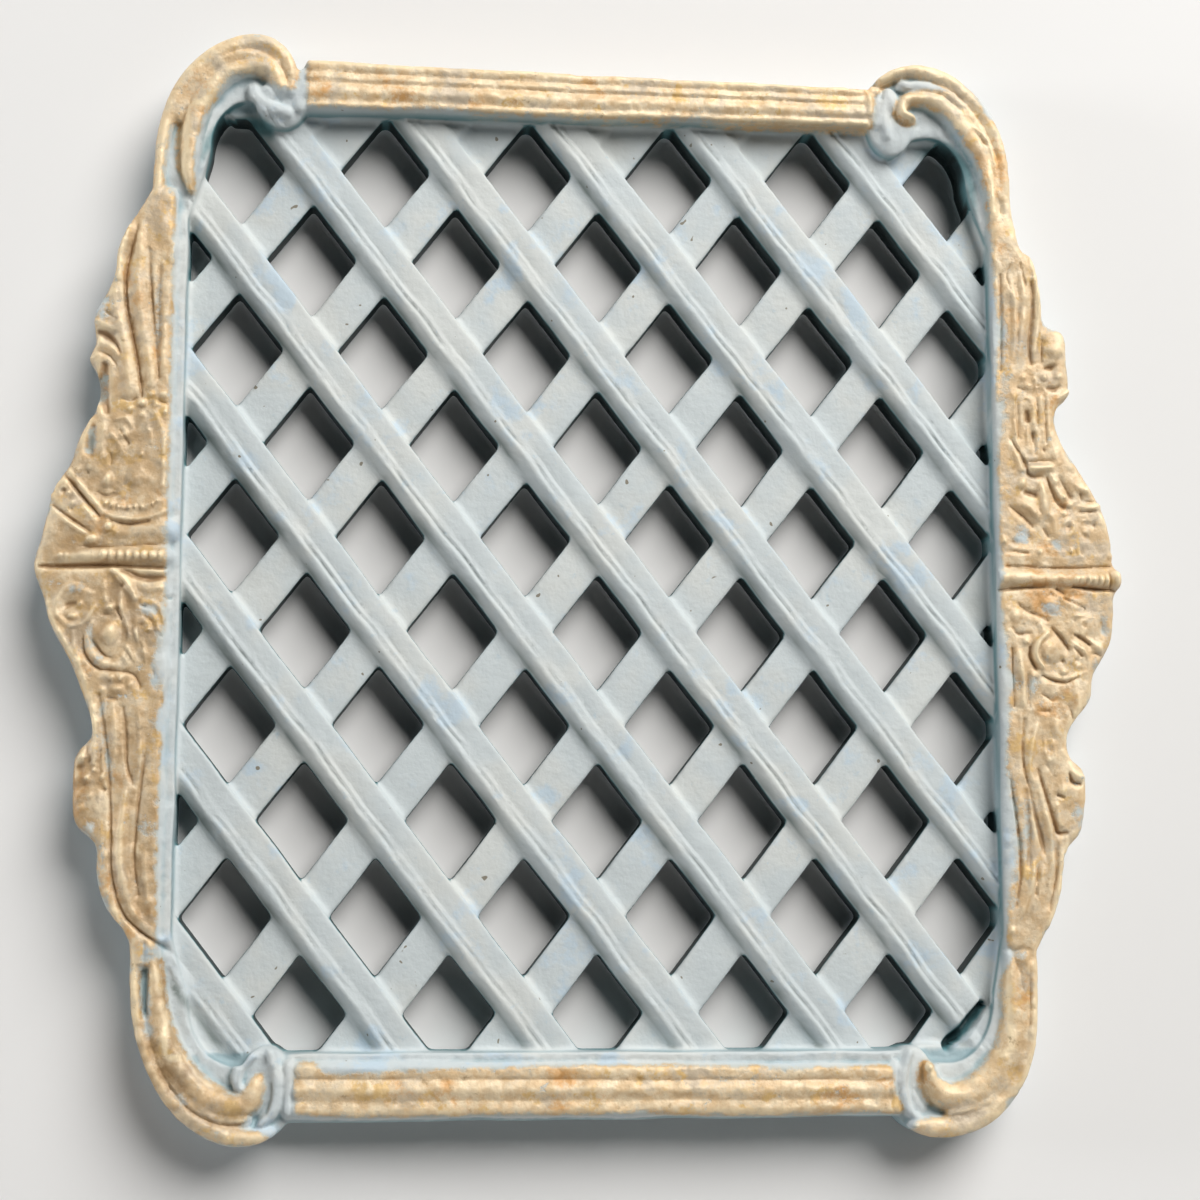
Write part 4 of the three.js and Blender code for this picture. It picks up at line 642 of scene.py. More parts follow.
# Cut lines of the corners and rails.
frameCuts = [
    [(-104, 100, 0.5, 0.8), (-102.8, 108, 0.5, 0.9), (-100, 114.6, 0.4, 0.7)],
    [(-93, 123.9, 0.4, 0.7), (-88, 126, 0.5, 1.2), (-83.6, 126.2, 0.55, 1.6), (-79.4, 124.2, 0.5, 1.4),
     (-77.2, 121, 0.4, 0.9)],
    [(-83.4, 119.6, 0.5, 1.2), (-80.4, 117.6, 0.6, 1.5), (-78.6, 115, 0.5, 1.1),
     (-76.4, 112.4, 0.4, 0.7)],
    [(-84.8, 118.6, 0.4, 0.9), (-84.2, 115.6, 0.4, 0.9), (-81.8, 112.6, 0.4, 0.8),
     (-78.6, 110, 0.4, 0.7)],
    [(-91.6, 127.6, 0.5, 0.9), (-90.2, 128.4, 0.4, 0.7)],
    [(-104.6, 115.8, 0.35, 0.7), (-101.4, 115.4, 0.35, 0.5)], [(-102.2, 107, 0.5, 0.8)],
    [(-92.6, 119.2, 0.6, 0.9)], [(-98, 97.6, 0.4, 1), (-97.4, 96.4, 0.4, 0.8)], [(-98.4, 92.4, 0.6, 0.9)],
    [(-103.2, 104, 0.5, 1.1), (-103, 98, 0.6, 1.2), (-101.4, 94.6, 0.4, 0.8)],
    [(71.8, 122.8, 0.6, 1.2), (76.4, 124.2, 0.7, 1.6), (81.6, 124.2, 0.6, 1.5), (86, 122.6, 0.5, 1.4),
     (90.4, 119.4, 0.5, 1.3), (94.6, 114.4, 0.5, 1.5), (97.4, 109.2, 0.5, 1.6), (99, 104.4, 0.5, 1.2),
     (99.6, 97, 0.4, 0.7)],
    [(80.6, 121.4, 0.35, 0.8), (85, 120.6, 0.4, 0.9), (89.4, 117.4, 0.4, 0.8)], [(76.8, 121.6, 0.5, 0.9)],
    [(77.6, 117, 0.5, 1.1), (76.4, 116.2, 0.4, 1)],
    [(74, 117, 0.45, 1), (73.6, 114.6, 0.5, 1.2), (75, 112.9, 0.5, 1.3), (77.4, 112.6, 0.4, 0.9)],
    [(87, 113, 0.4, 0.8), (86.6, 109.8, 0.4, 0.7), (88, 107.4, 0.4, 0.6)], [(96.8, 104.6, 0.4, 0.8)],
    [(96.9, 98, 0.4, 0.9), (97, 94.6, 0.4, 0.8)], [(66, 120.6, 0.35, 0.9), (65.9, 114.2, 0.35, 0.9)],
    [(69.1, 124, 0.6, 1), (68.6, 118, 0.6, 1.2), (68.6, 113, 0.5, 1)],
    [(-105.2, -88, 0.7, 1.3), (-105.1, -100, 0.7, 1.3), (-104.6, -105, 0.5, 1),
     (-102.4, -113.6, 0.5, 1.1), (-98.8, -120.4, 0.5, 1.3), (-93.6, -126, 0.5, 1.6),
     (-88.4, -128.8, 0.55, 1.7), (-83, -129.2, 0.5, 1.5), (-79, -127.6, 0.5, 1.3),
     (-77.2, -124.6, 0.4, 0.9)],
    [(-98.4, -104, 0.4, 0.7), (-97.6, -110, 0.5, 0.9), (-95, -115.6, 0.5, 1), (-90.6, -120.4, 0.5, 0.9),
     (-85.4, -121.8, 0.4, 0.8)],
    [(-100.6, -99, 0.3, 0.5), (-99.8, -106, 0.35, 0.6)],
    [(-83.4, -121.6, 0.5, 1.1), (-83.2, -118, 0.5, 1), (-81.8, -114.8, 0.4, 0.8)],
    [(-80, -120, 0.5, 0.9), (-80.4, -117.4, 0.4, 0.8)],
    [(-76.8, -126.6, 0.5, 1.2), (-75.6, -122, 0.4, 1), (-75.6, -116.6, 0.4, 0.8)],
    [(-70.6, -116, 0.5, 0.9), (-70.9, -121, 0.6, 1.3), (-71, -127, 0.5, 1.1)],
    [(-92.6, -131.2, 0.5, 0.8), (-91, -132.6, 0.5, 0.8)],
    [(-84.6, -130.6, 0.4, 0.6), (-85.6, -132.4, 0.4, 0.6)],
    [(102.8, -91, 0.4, 0.9), (102.9, -98, 0.4, 1.2), (102.6, -105.4, 0.45, 1.3),
     (101.6, -111.6, 0.35, 0.7)],
    [(100.8, -112, 0.3, 0.5), (97.8, -119.4, 0.4, 0.7), (92.6, -125.4, 0.4, 0.9), (86, -128.2, 0.5, 1.4),
     (80.4, -128.4, 0.5, 1.6), (77, -126.2, 0.5, 1.6), (74.8, -122.8, 0.5, 1.4)],
    [(74.6, -122.4, 0.4, 1), (76, -119.4, 0.4, 0.8)], [(77.4, -132.8, 0.4, 0.8)],
    [(98.4, -124.2, 0.5, 0.7)], [(96.2, -126.8, 0.5, 0.7)],
    [(68.2, -121, 0.4, 1), (69, -126, 0.4, 1.1), (70.6, -128.6, 0.4, 0.9)],
    [(70.6, -116.6, 0.4, 0.8), (70.2, -122, 0.5, 1), (71.6, -128, 0.4, 0.9)],
    [(73.8, -117, 0.35, 0.7), (73.4, -122, 0.35, 0.8), (74.4, -127.6, 0.35, 0.7)],
    [(-71, 121.6, 0.4, 1.2), (66, 119.5, 0.4, 1.2)], [(-71, 119, 0.35, 0.9), (66, 117.4, 0.35, 0.9)],
    [(-71, 114.3, 0.35, 0.8), (66, 113.7, 0.35, 0.8)],
    [(-70, -119.1, 0.45, 1.4), (68.6, -120.1, 0.45, 1.4)],
    [(-70, -124.1, 0.35, 0.8), (68.6, -124.5, 0.35, 0.8)],
]
# Rows of small beads: the twists of the rope and the beading round the blank shield.
beadRows = [
    {"path": [(-126.8, 2, 0, 0), (-118.6, 2, 0, 0)], "count": 6, "wide": 0.6, "high": 1.2, "crest": 15.9},
    {"path": [(-117, 1.9, 0, 0), (-103.6, 1.8, 0, 0)], "count": 8, "wide": 0.75, "high": 2, "crest": 17},
    {"path": [(-116.6, 14, 0, 0), (-113.4, 13.2, 0, 0), (-110.4, 13.4, 0, 0), (-107.4, 13.7, 0, 0),
              (-104.6, 15.2, 0, 0)],
     "count": 10, "wide": 0.6, "high": 0.9, "crest": 15.9},
    {"path": [(116, -1, 0, 0), (123.6, -1.1, 0, 0)], "count": 6, "wide": 0.55, "high": 2.1, "crest": 17.5},
]


def window(x, up, reachX, reachUp):
    # The part of the sheet around a place, and how far each of its cells lies from that place.
    i0 = max(0, int((up - reachUp - sheet["bottom"]) / sheet["step"]))
    i1 = min(sheetShape[0], int((up + reachUp - sheet["bottom"]) / sheet["step"]) + 2)
    j0 = max(0, int((x - reachX - sheet["left"]) / sheet["step"]))
    j1 = min(sheetShape[1], int((x + reachX - sheet["left"]) / sheet["step"]) + 2)
    return (slice(i0, i1), slice(j0, j1)), acrossMm[None, j0:j1] - x, upMm[i0:i1, None] - up


def roundTop(squared):
    return np.sqrt(np.clip(1 - squared, 0, 1))


def softTop(squared):
    return np.clip(1 - squared, 0, 1) ** 2


def sweep(stations, profile=roundTop, wider=1.0, spacing=0.35):
    # A stroke's own relief on an empty sheet: its last value times the profile, along its whole way.
    relief = np.zeros(sheetShape, np.float32)
    for x, up, half, value in curveThrough(stations, spacing):
        reach = max(0.3, half * wider)
        cells, dx, dy = window(x, up, reach, reach)
        part = relief[cells]
        np.maximum(part, value * profile((dx * dx + dy * dy) / (reach * reach)), out=part)
    return relief


def dome(x, up, wide, high, value, profile=roundTop, turn=0.0):
    relief = np.zeros(sheetShape, np.float32)
    reach = max(wide, high)
    cells, dx, dy = window(x, up, reach, reach)
    c, s = cos(radians(turn)), sin(radians(turn))
    a, b = (dx * c + dy * s) / wide, (dy * c - dx * s) / high
    relief[cells] = value * profile(a * a + b * b)
    return relief


def blurred(values, radius):
    # A soft blur: box averages three times over.
    width = max(1, int(round(radius / sheet["step"])))
    out = values.astype(np.float32)
    for axis in (0, 1):
        for turn in range(3):
            padded = np.pad(out, [(width + 1, width) if a == axis else (0, 0) for a in (0, 1)], mode="edge")
            total = np.cumsum(padded, axis=axis, dtype=np.float64)
            size = out.shape[axis]
            high = np.take(total, np.arange(2 * width + 1, 2 * width + 1 + size), axis=axis)
            low = np.take(total, np.arange(0, size), axis=axis)
            out = ((high - low) / (2 * width + 1)).astype(np.float32)
    return out


def ripple(seed, size):
    # Smooth unevenness between -1 and 1, with hills about as wide as size millimetres.
    rows = int((sheet["top"] - sheet["bottom"]) / size) + 3
    columns = int((sheet["right"] - sheet["left"]) / size) + 3
    knots = np.random.default_rng(seed).uniform(-1, 1, (rows, columns))
    fi = (upMm - sheet["bottom"]) / size
    fj = (acrossMm - sheet["left"]) / size
    i, j = fi.astype(int), fj.astype(int)
    ti, tj = fi - i, fj - j
    ti, tj = (ti * ti * (3 - 2 * ti))[:, None], (tj * tj * (3 - 2 * tj))[None, :]
    a, b = knots[np.ix_(i, j)], knots[np.ix_(i, j + 1)]
    c, d = knots[np.ix_(i + 1, j)], knots[np.ix_(i + 1, j + 1)]
    return ((a * (1 - tj) + b * tj) * (1 - ti) + (c * (1 - tj) + d * tj) * ti).astype(np.float32)


def readSheet(values, xs, ups):
    fj = np.clip((xs - sheet["left"]) / sheet["step"], 0, sheetShape[1] - 1.001)
    fi = np.clip((ups - sheet["bottom"]) / sheet["step"], 0, sheetShape[0] - 1.001)
    i, j = fi.astype(int), fj.astype(int)
    ti, tj = fi - i, fj - j
    return ((values[i, j] * (1 - tj) + values[i, j + 1] * tj) * (1 - ti)
            + (values[i + 1, j] * (1 - tj) + values[i + 1, j + 1] * tj) * ti)


def portion(values, start, span):
    # How far the values are on the way from start over the span, 0 to 1. A negative span counts downwards.
    return np.clip((values - start) / span, 0, 1)


def rise(values, start, end):
    t = portion(values, start, end - start)
    return t * t * (3 - 2 * t)


def vertexPlaces(mesh):
    flat = np.empty(len(mesh.vertices) * 3, np.float32)
    mesh.vertices.foreach_get("co", flat)
    flat = flat.reshape(-1, 3) / mm
    return flat[:, 0].copy(), flat[:, 2] + crossingLift, -flat[:, 1]


def putBack(mesh, xs, ups, outs):
    flat = np.empty((len(xs), 3), np.float32)
    flat[:, 0], flat[:, 1], flat[:, 2] = xs * mm, -outs * mm, (ups - crossingLift) * mm
    mesh.vertices.foreach_set("co", flat.ravel())
    mesh.update()


def insideOf(outline):
    # The part of the sheet that lies inside a closed outline.
    inside = np.zeros(sheetShape, bool)
    for (x0, y0), (x1, y1) in zip(outline, outline[1:] + outline[:1]):
        if y0 == y1:
            continue
        crosses = (y0 > upMm) != (y1 > upMm)
        edge = (x1 - x0) * (upMm[crosses] - y0) / (y1 - y0) + x0
        inside[crosses] ^= acrossMm[None, :] < edge[:, None]
    return inside


# Heights above the bed of the frame, and how much of the drawn heights and depths the worn cast keeps.
carving = {
    "ground": 2.7, "strokeFoot": 2.9, "lumpKeeps": 0.9, "knob": 1.5, "cutKeeps": 0.56, "frameCutKeeps": 0.5,
    "foot": 10.3, "full": 11.7, "wear": ((0.2, 3, 1.8), (0.14, 4, 5), (0.17, 8, 0.9)),
    "swell": 0.14, "waver": 0.22, "flatBelow": 0.25,
}

print("relief")
bed = frameBed["height"]
leftSide = [tuple(p) for p in curveThrough(frameBed["leftEdge"], 1.2)] + [(-101.6, -93), (-101.6, 92)]
rightSide = [tuple(p) for p in curveThrough(frameBed["rightEdge"], 1.2)] + [(96.6, -90), (96.6, 90)]
sides = (insideOf(leftSide) | insideOf(rightSide)).astype(np.float32)
body = portion(blurred(sides, 1.0), 0.42, 0.5)
carved = carving["ground"] * np.sqrt(body) * (blurred(sides, 0.3) > 0.3)
topRail = [(-71.8, 124.4), (67.6, 121.6), (67.6, 112), (-71.8, 112.2)]
bottomRail = [(-70.6, -115.4), (69.6, -117), (70.8, -128), (-70.6, -127.8)]
rails = (insideOf(topRail) | insideOf(bottomRail)).astype(np.float32)
carved = np.maximum(carved, carving["ground"] * np.sqrt(portion(blurred(rails, 0.8), 0.3, 0.6)))
# Each kind of stroke with the part of its drawn height that it keeps.
strokeKinds = [(scrolls, 0.66), (railRolls, 0.38), (innerSlopes, 1), (bands, 0.7), (leftStrokes, 0.76),
               (rightStrokes, 0.7)]
for strokes, keeps in strokeKinds:
    for stations in strokes:
        ridge = [(x, up, half, carving["ground"] + keeps * (crest - bed - carving["strokeFoot"]))
                 for x, up, half, crest in stations]
        np.maximum(carved, sweep(ridge, wider=1.15), out=carved)
for x, up, wide, high, crest in lumps:
    top = carving["ground"] + carving["lumpKeeps"] * (crest - bed - carving["ground"])
    np.maximum(carved, dome(x, up, wide, high, top), out=carved)
for c in corners:
    knob = dome(c["lumpX"], c["lumpUp"], c["lumpWide"], c["lumpHigh"], carving["knob"],
                lambda q: roundTop(q ** 2))
    np.maximum(carved, knob, out=carved)
for row in beadRows:
    path = curveThrough(row["path"], 0.1)
    for i in range(row["count"]):
        x, up = path[round(i * (len(path) - 1) / (row["count"] - 1))][:2]
        np.maximum(carved, dome(x, up, row["wide"], row["high"], row["crest"] - bed), out=carved)
worn = sum(height * ripple(seed, size) for height, seed, size in carving["wear"])
cutDepth = np.zeros(sheetShape, np.float32)
frameCuts = [[(x, up, half, carving["frameCutKeeps"] * depth) for x, up, half, depth in stations]
             for stations in frameCuts]
for stations in cuts + frameCuts:
    if len(stations) == 1:
        x, up, half, depth = stations[0]
        np.maximum(cutDepth, dome(x, up, half * 1.3, half * 1.3, depth, softTop), out=cutDepth)
    else:
        np.maximum(cutDepth, sweep(stations, softTop, 1.35), out=cutDepth)

# Where each cell lies across the front and the rear bars, from a bar's middle line.
crossing = hypot(lattice["stepX"], lattice["stepUp"])
gap = lattice["stepX"] * lattice["stepUp"] / crossing
gridX, gridUp = np.meshgrid(acrossMm, upMm)
alongX, alongUp = gridX * lattice["stepUp"], (gridUp - crossingLift) * lattice["stepX"]
frontWay = ((alongX + alongUp) / crossing + gap / 2) % gap - gap / 2
rearWay = ((alongX - alongUp) / crossing + gap / 2) % gap - gap / 2
# The beaded edge of the front bars: middle, half width, height, steady and uneven share, ripple seed, size.
barLines = [(-2.3, 1.1, 0.22, 0.9, 0.8, 12, 3.4), (-1.25, 0.7, -0.3, 0.8, 0.9, 13, 6),
            (-0.5, 0.9, 0.16, 0.7, 0.9, 14, 5), (0.4, 0.8, -0.16, 0.7, 0.9, 15, 8)]
swing = frontWay + 0.35 * ripple(11, 7)
bead = sum(height * softTop(((swing - middle) / half) ** 2) * (steady + uneven * ripple(seed, size))
           for middle, half, height, steady, uneven, seed, size in barLines)
field = ((gridX > lattice["left"]) & (gridX < lattice["right"])
         & (gridUp > lattice["bottom"]) & (gridUp < lattice["top"]))

xs, ups, outs = vertexPlaces(grille.data)
onBed = portion(outs, carving["foot"], carving["full"] - carving["foot"])
outs = outs + onBed * readSheet(carved + worn, xs, ups)
putBack(grille.data, xs, ups, outs)
grille = fuse([grille], "gildedGrille", skinPlan["lastGrain"])
print("carved panel", len(grille.data.polygons), "faces")

# The fine cuts and the beads come last, and then the slight waver of hand work.
smoothed(grille, skinPlan["lastSmoothing"])
xs, ups, outs = vertexPlaces(grille.data)
outs = outs - portion(outs, 11, 1.6) * carving["cutKeeps"] * readSheet(cutDepth, xs, ups)
outs = outs + portion(outs, 8.4, 0.7) * readSheet(bead * field, xs, ups)
slot = sweep(lattice["slot"], softTop, 1.5)
outs = outs - portion(outs, 2, 3) * portion(outs, 13, -1.5) * lattice["slotDepth"] * readSheet(slot, xs, ups)
putBack(grille.data, xs, ups, outs)
xs, ups, outs = vertexPlaces(grille.data)
free = portion(outs, 0, 3)  # the back stays on the wall
swelled = outs + free * (carving["swell"] * readSheet(ripple(5, 9), xs, ups))
outs = np.where(outs < carving["flatBelow"], 0, swelled)
newXs = xs + free * carving["waver"] * readSheet(ripple(6, 12), xs, ups)
ups = ups + free * carving["waver"] * readSheet(ripple(7, 12), xs, ups)
xs = newXs
low, high = cadLow / mm, cadHigh / mm
xs = np.clip(xs, low.x, high.x)
ups = np.clip(ups, low.z + crossingLift, high.z + crossingLift)
outs = np.clip(outs, 0, -low.y)
putBack(grille.data, xs, ups, outs)

triangles = 2 * len(grille.data.polygons)
thin = grille.modifiers.new("thin", "DECIMATE")
thin.ratio = min(1, skinPlan["triangles"] / triangles)
bpy.ops.object.modifier_apply(modifier=thin.name)
xs, ups, outs = vertexPlaces(grille.data)
outs = np.where(outs < 0.1, 0, np.clip(outs, 0, -low.y - 0.01))
putBack(grille.data, np.clip(xs, low.x + 0.01, high.x - 0.01), ups, outs)
bpy.ops.object.shade_smooth_by_angle(angle=radians(60))
turns = np.empty(len(grille.data.polygons) * 3, np.float32)
grille.data.polygons.foreach_get("normal", turns)
grille.data.polygons.foreach_set("use_smooth", turns.reshape(-1, 3)[:, 1] < 0.95)  # the back is flat
print("finished skin", len(grille.data.polygons), "faces")

# Where gold and paint lie, with darker marks, painted highlight and painted shade

print("gilding and paint")
xs, ups, outs = vertexPlaces(grille.data)
surface = bed + np.where(field, 0, carved + worn - cutDepth).astype(np.float32)
nearby, around = blurred(surface, 0.75), blurred(surface, 2)
# Raised places get a painted highlight on the gold, and sunken places painted shade with grime on gold and
# paint.
raised = (np.clip((outs - readSheet(nearby, xs, ups)) / 0.8, -1, 1) * 0.7
          + np.clip((outs - readSheet(around, xs, ups)) / 2, -1, 1) * 0.3)
inField = readSheet(blurred(field, 0.3), xs, ups)
raised = raised * (1 - inField)
# Darker grey and brown in the cuts and between the beads, and painted shade on the sloping flank of the front
# bars, which faces away from the light.
flank = portion(frontWay, -5.8, 0.6) * portion(frontWay, -3, -1) * (0.75 + 0.5 * ripple(21, 5))
linesAndShade = portion(readSheet(cutDepth, xs, ups), 0, 1.3) * (1 - inField) * portion(outs, 11, 1.6)
onFront = inField * portion(outs, 7.5, 0.6)
linesAndShade = linesAndShade + inField * portion(outs, 8.4, 0.7) * portion(readSheet(-bead, xs, ups), 0, 0.3) * 0.5
linesAndShade = np.maximum(linesAndShade, onFront * 0.8 * readSheet(blurred(flank, 0.3), xs, ups))
# Painted shade: the steep sides of the bars below the lip are darkened to blue-green and near black, but not
# where a rear bar runs up to a front one.
facing = np.empty(len(xs) * 3, np.float32)
grille.data.vertices.foreach_get("normal", facing)
facing = facing.reshape(-1, 3)
steep = portion(facing[:, 1], -0.62, 0.42) * portion(facing[:, 1], 0.9, -0.3)
overRear = readSheet(portion(np.abs(rearWay), 5.8, -0.8), xs, ups) * portion(outs, 6.4, 0.4)
depth = inField * steep * portion(outs, 9.5, -1.5) * (1 - overRear)

# Painted shade: the walls of the frame that look down on the lattice are darkened to blue-green, more towards
# the top and the right, where they face away from the light, most of all at the top corners and in the slot.
inward = -(facing[:, 0] * xs + facing[:, 2] * ups) / np.maximum(np.hypot(xs, ups), 1)
within = (np.abs(xs + 1) < 99.5) & (ups > -115.5) & (ups < 114)
wall = portion(facing[:, 1], -0.9, 0.6) * rise(inward, 0, 0.5) * within
wall = wall * rise(outs, 8.6, 10) * portion(outs, 15, -5)
nookShade = np.maximum(dome(-90, 106, 13, 9, 0.5, softTop), dome(88, 103, 12, 12, 0.5, softTop))
wallShade = wall * (0.12 + 0.34 * rise(ups, 96, 108) + 0.34 * rise(xs, 84, 96) + readSheet(nookShade, xs, ups))
wallShade = np.maximum(wallShade, 0.9 * readSheet(slot, xs, ups) * portion(outs, 13, -2))
# Painted shade in blue-green on the rounded heads of the two top openings too.
leftHeadShade = sweep([(-98.4, 95, 2, 0.2), (-96, 101.6, 2.6, 0.4), (-91.6, 107.2, 3.2, 0.55),
                  (-85.6, 109.6, 3.4, 0.62),
                  (-80.4, 107.6, 2.8, 0.55)], softTop)
rightHeadShade = sweep([(80, 107.4, 2.2, 0.35), (86.4, 108, 2.8, 0.5), (91.8, 102.6, 2.8, 0.5),
                   (93.4, 94.4, 2.4, 0.42),
                   (93.6, 87, 1.8, 0.2)], softTop)
headShade = readSheet(blurred(np.maximum(leftHeadShade, rightHeadShade), 0.5), xs, ups)
wallShade = np.maximum(wallShade, headShade * portion(outs, 14.4, -2.4))
# Darker and browner towards the left side and the bottom left corner, less so on the right side and along the
# bottom rail.
sideAndLowDarkening = 0.04 + rise(-xs, 88, 104) * rise(-ups, -96, -80) * (0.4 + 0.2 * rise(-ups, -40, 0))
sideAndLowDarkening = sideAndLowDarkening + 0.34 * rise(-xs, 66, 80) * rise(-ups, 88, 104) + 0.16 * rise(-ups, 108, 114)
sideAndLowDarkening = sideAndLowDarkening + 0.32 * rise(xs, 90, 100) * rise(-ups, -92, -80)
sideAndLowDarkening = np.clip(sideAndLowDarkening * (1 + 0.4 * readSheet(ripple(22, 8), xs, ups)), 0, 1)

# Gold leaf: all of the side ornaments, the rails, and the two rolls of each corner.
gildStrokes = [
    [(-106.3, 86, 1.1), (-106.4, 98, 1.2), (-105.4, 108, 1.6), (-101.6, 116.6, 2.4), (-95, 123.6, 3),
     (-88.4, 127.2, 3.4), (-82.4, 128, 3.2), (-77.4, 125.6, 2.8), (-75.4, 121, 1.9), (-75.2, 118, 1.4)],
    [(-98.6, 91, 0.7), (-99.9, 95, 1.6), (-100.4, 100, 2.2), (-99.6, 107, 2.7), (-97, 113.6, 2.9),
     (-91.4, 120.6, 2.2), (-85, 122.8, 2.4), (-80, 121.4, 2.4), (-77.8, 118.6, 1.9)],
    [(-102.8, 110, 2), (-99, 117.6, 2.2), (-92.4, 124, 2), (-85, 126, 2)],
    [(69, 121.4, 1), (71.4, 124.4, 1.4), (75, 126.5, 1.9), (80, 126.9, 2), (86.4, 124.8, 2.4),
     (92, 120.4, 1.7), (95.6, 114, 1.2), (99.4, 109.6, 2.2), (101, 102, 1.7), (101, 94, 2),
     (101.8, 86, 2)],
    [(77.9, 113.9, 1.3), (75, 115.2, 1.6), (76, 118.6, 1.6), (79.6, 119.7, 1.6), (84.6, 119, 2.2),
     (89.2, 115.8, 2.6), (93.4, 109.6, 2.5), (96.2, 103.4, 2), (98.2, 96, 1.9), (99, 88, 2)],
    [(88, 119.4, 1.8), (93, 114.6, 1.8), (96.6, 108.6, 1.8), (98.8, 102, 1.6), (99.6, 95, 1.6)],
    [(66.9, 121.4, 1.6), (66.9, 113.6, 1.4)],
    [(-107.4, -86, 0.9), (-107.3, -98, 1.2), (-106.4, -108, 1.7), (-103.6, -116.6, 2),
     (-98.4, -123.8, 2.2), (-92, -128.8, 2.3), (-86, -131, 2.4), (-80, -132.4, 1.6),
     (-77.6, -132.4, 1.2)],
    [(-102.6, -92, 1.2), (-102, -100, 1.8), (-100.6, -108, 2.5), (-97.4, -115.4, 3), (-92, -121.6, 3.1),
     (-86, -125, 3.1), (-81.2, -124.4, 2.6), (-79, -120.8, 1.8), (-78.6, -118.8, 1)],
    [(-104.2, -110, 1.2), (-100, -119.4, 1.6), (-94, -125.4, 1.8), (-88, -128, 1.8), (-83, -128, 1.6)],
    [(103.6, -86, 1.6), (103.7, -98, 1.5), (103.2, -108, 1.8), (100.9, -117, 2), (96.6, -124, 2.2),
     (90.8, -129, 2.5), (84.6, -131.4, 2.6), (78.6, -131.6, 2.2), (75, -131, 1.2)],
    [(99.6, -92, 1), (98.8, -99, 2.8), (99.2, -108, 3.3), (96.6, -116, 3.8), (91.2, -122, 3.8),
     (85, -124.8, 3.6), (79.8, -123.4, 2.9), (77.4, -119.4, 2.1), (77.6, -117.2, 1.6)],
    [(101.6, -94, 1.6), (101.6, -106, 1.8), (98.6, -117, 2), (92, -125.6, 2), (84, -128.4, 2)],
]
leftGilt = leftSide[:-2] + [(-102.7, -93), (-102.7, 92)]
rightGilt = rightSide[:-2] + [(97.9, -90), (98.2, 0), (97.5, 90)]
onFrame = (insideOf(leftGilt) | insideOf(rightGilt)).astype(np.float32)
for strokes in gildStrokes:
    np.maximum(onFrame, sweep([(x, up, half, 1) for x, up, half in strokes], lambda q: (q < 1) * 1.0),
               out=onFrame)
topGilt = [
    (-71.3, 125.5), (68, 122.5), (68, 111.4), (40, 111.7), (0, 112.2), (-30, 112.4), (-50, 113),
    (-71.3, 112.8),
]
bottomGilt = [
    (-70, -115.6), (-66, -115.2), (-64, -118.2), (-40, -117.2), (-10, -116.6), (30, -116.8), (50, -117.4),
    (69, -117.2), (69.6, -122), (72, -128.2), (40, -128.2), (0, -127.4), (-60, -127.6), (-70, -126.6),
]
onFrame = np.maximum(onFrame, (insideOf(topGilt) | insideOf(bottomGilt)).astype(np.float32))
# Places where the blue-grey paint shows through or was never gilded: x, up, half width, half height, turn.
bare = [
    (-119.2, 61.4, 2.2, 3.4, 20), (-105.7, 60, 0.7, 12, 0), (-101.2, 60, 1.2, 14, 0),
    (-118, 42, 1.3, 6.4, -3), (-120.6, 29, 1.4, 4.2, -10), (-130.4, 12.6, 0.9, 3, -12),
    (-124, 5.2, 3.4, 0.8, 3), (-123, -6, 3, 1, 8), (-119.7, -17.4, 0.9, 4, 0),
    (-117.6, -22.6, 2.8, 0.9, 32), (-106.4, -10.6, 3, 1.8, -28), (-103.6, -23, 2.1, 8, -8),
    (-116, -33.6, 1.1, 3.6, -12), (-103.2, -36.6, 2, 4, 0), (-114.7, -45, 0.8, 9, 6),
    (-105.9, -61.4, 1.1, 3.6, 0), (-102, -62, 1.5, 28, 0), (-118, -61.4, 2.2, 1.9, 20),
    (-115.4, -70, 0.6, 6, -6), (-114.4, -79.4, 0.8, 4.6, -20), (-104.9, -90, 1.6, 3, 0),
    (97.2, 60, 1.6, 18, 0), (99.9, 57, 1.1, 15, 0), (98.9, 37, 1.2, 8, 0), (99.8, 22, 0.7, 8, 0),
    (112, 62, 3.4, 1.4, -20), (112.6, 38.6, 1, 3.6, -6), (116.4, 29.4, 1.2, 3.4, 28),
    (104, 10.6, 3, 1.6, -20), (111.8, 7.6, 1.5, 2.2, 0), (103, 8.4, 2.6, 1.2, -20),
    (110.4, -8, 3.6, 2.4, 0), (123.4, -12.4, 1, 3.6, 6), (120.8, -21.4, 0.8, 3, 20),
    (98.6, -28, 1.4, 18, 0), (100.3, -26.6, 0.8, 4, 0), (105.4, -26.6, 1.3, 2.6, 0),
    (107, -31.4, 1.4, 1.3, 0), (109, -42.6, 0.9, 1.6, 0), (99, -64, 2.2, 19, 0), (102.7, -62, 1, 9, -3),
    (115.8, -58.6, 1.2, 4.6, 12), (108.8, -62, 0.5, 3, 0), (112.6, -29.4, 1.5, 1, 0),
    (-103.5, 96, 1, 7.6, 0), (97.8, 116.6, 1.6, 4.6, 35), (97, -91.6, 2.6, 2.6, 0),
    (-105.4, -96, 0.8, 9.4, 0), (-79.6, -130, 2.6, 1, 10), (-99, -97, 1.6, 6, 4),
    (-95, -123.8, 1.3, 2.6, 40), (97.6, -125.8, 1.4, 2.2, -35), (-40, 112.8, 9, 0.8, 0),
    (8, -127.6, 8, 1, 0), (62, -128, 8, 0.7, 0), (44, -117, 5, 0.6, 0), (-30, -116.6, 8, 0.7, 0),
    (22, 112.2, 7, 0.6, 0),
]
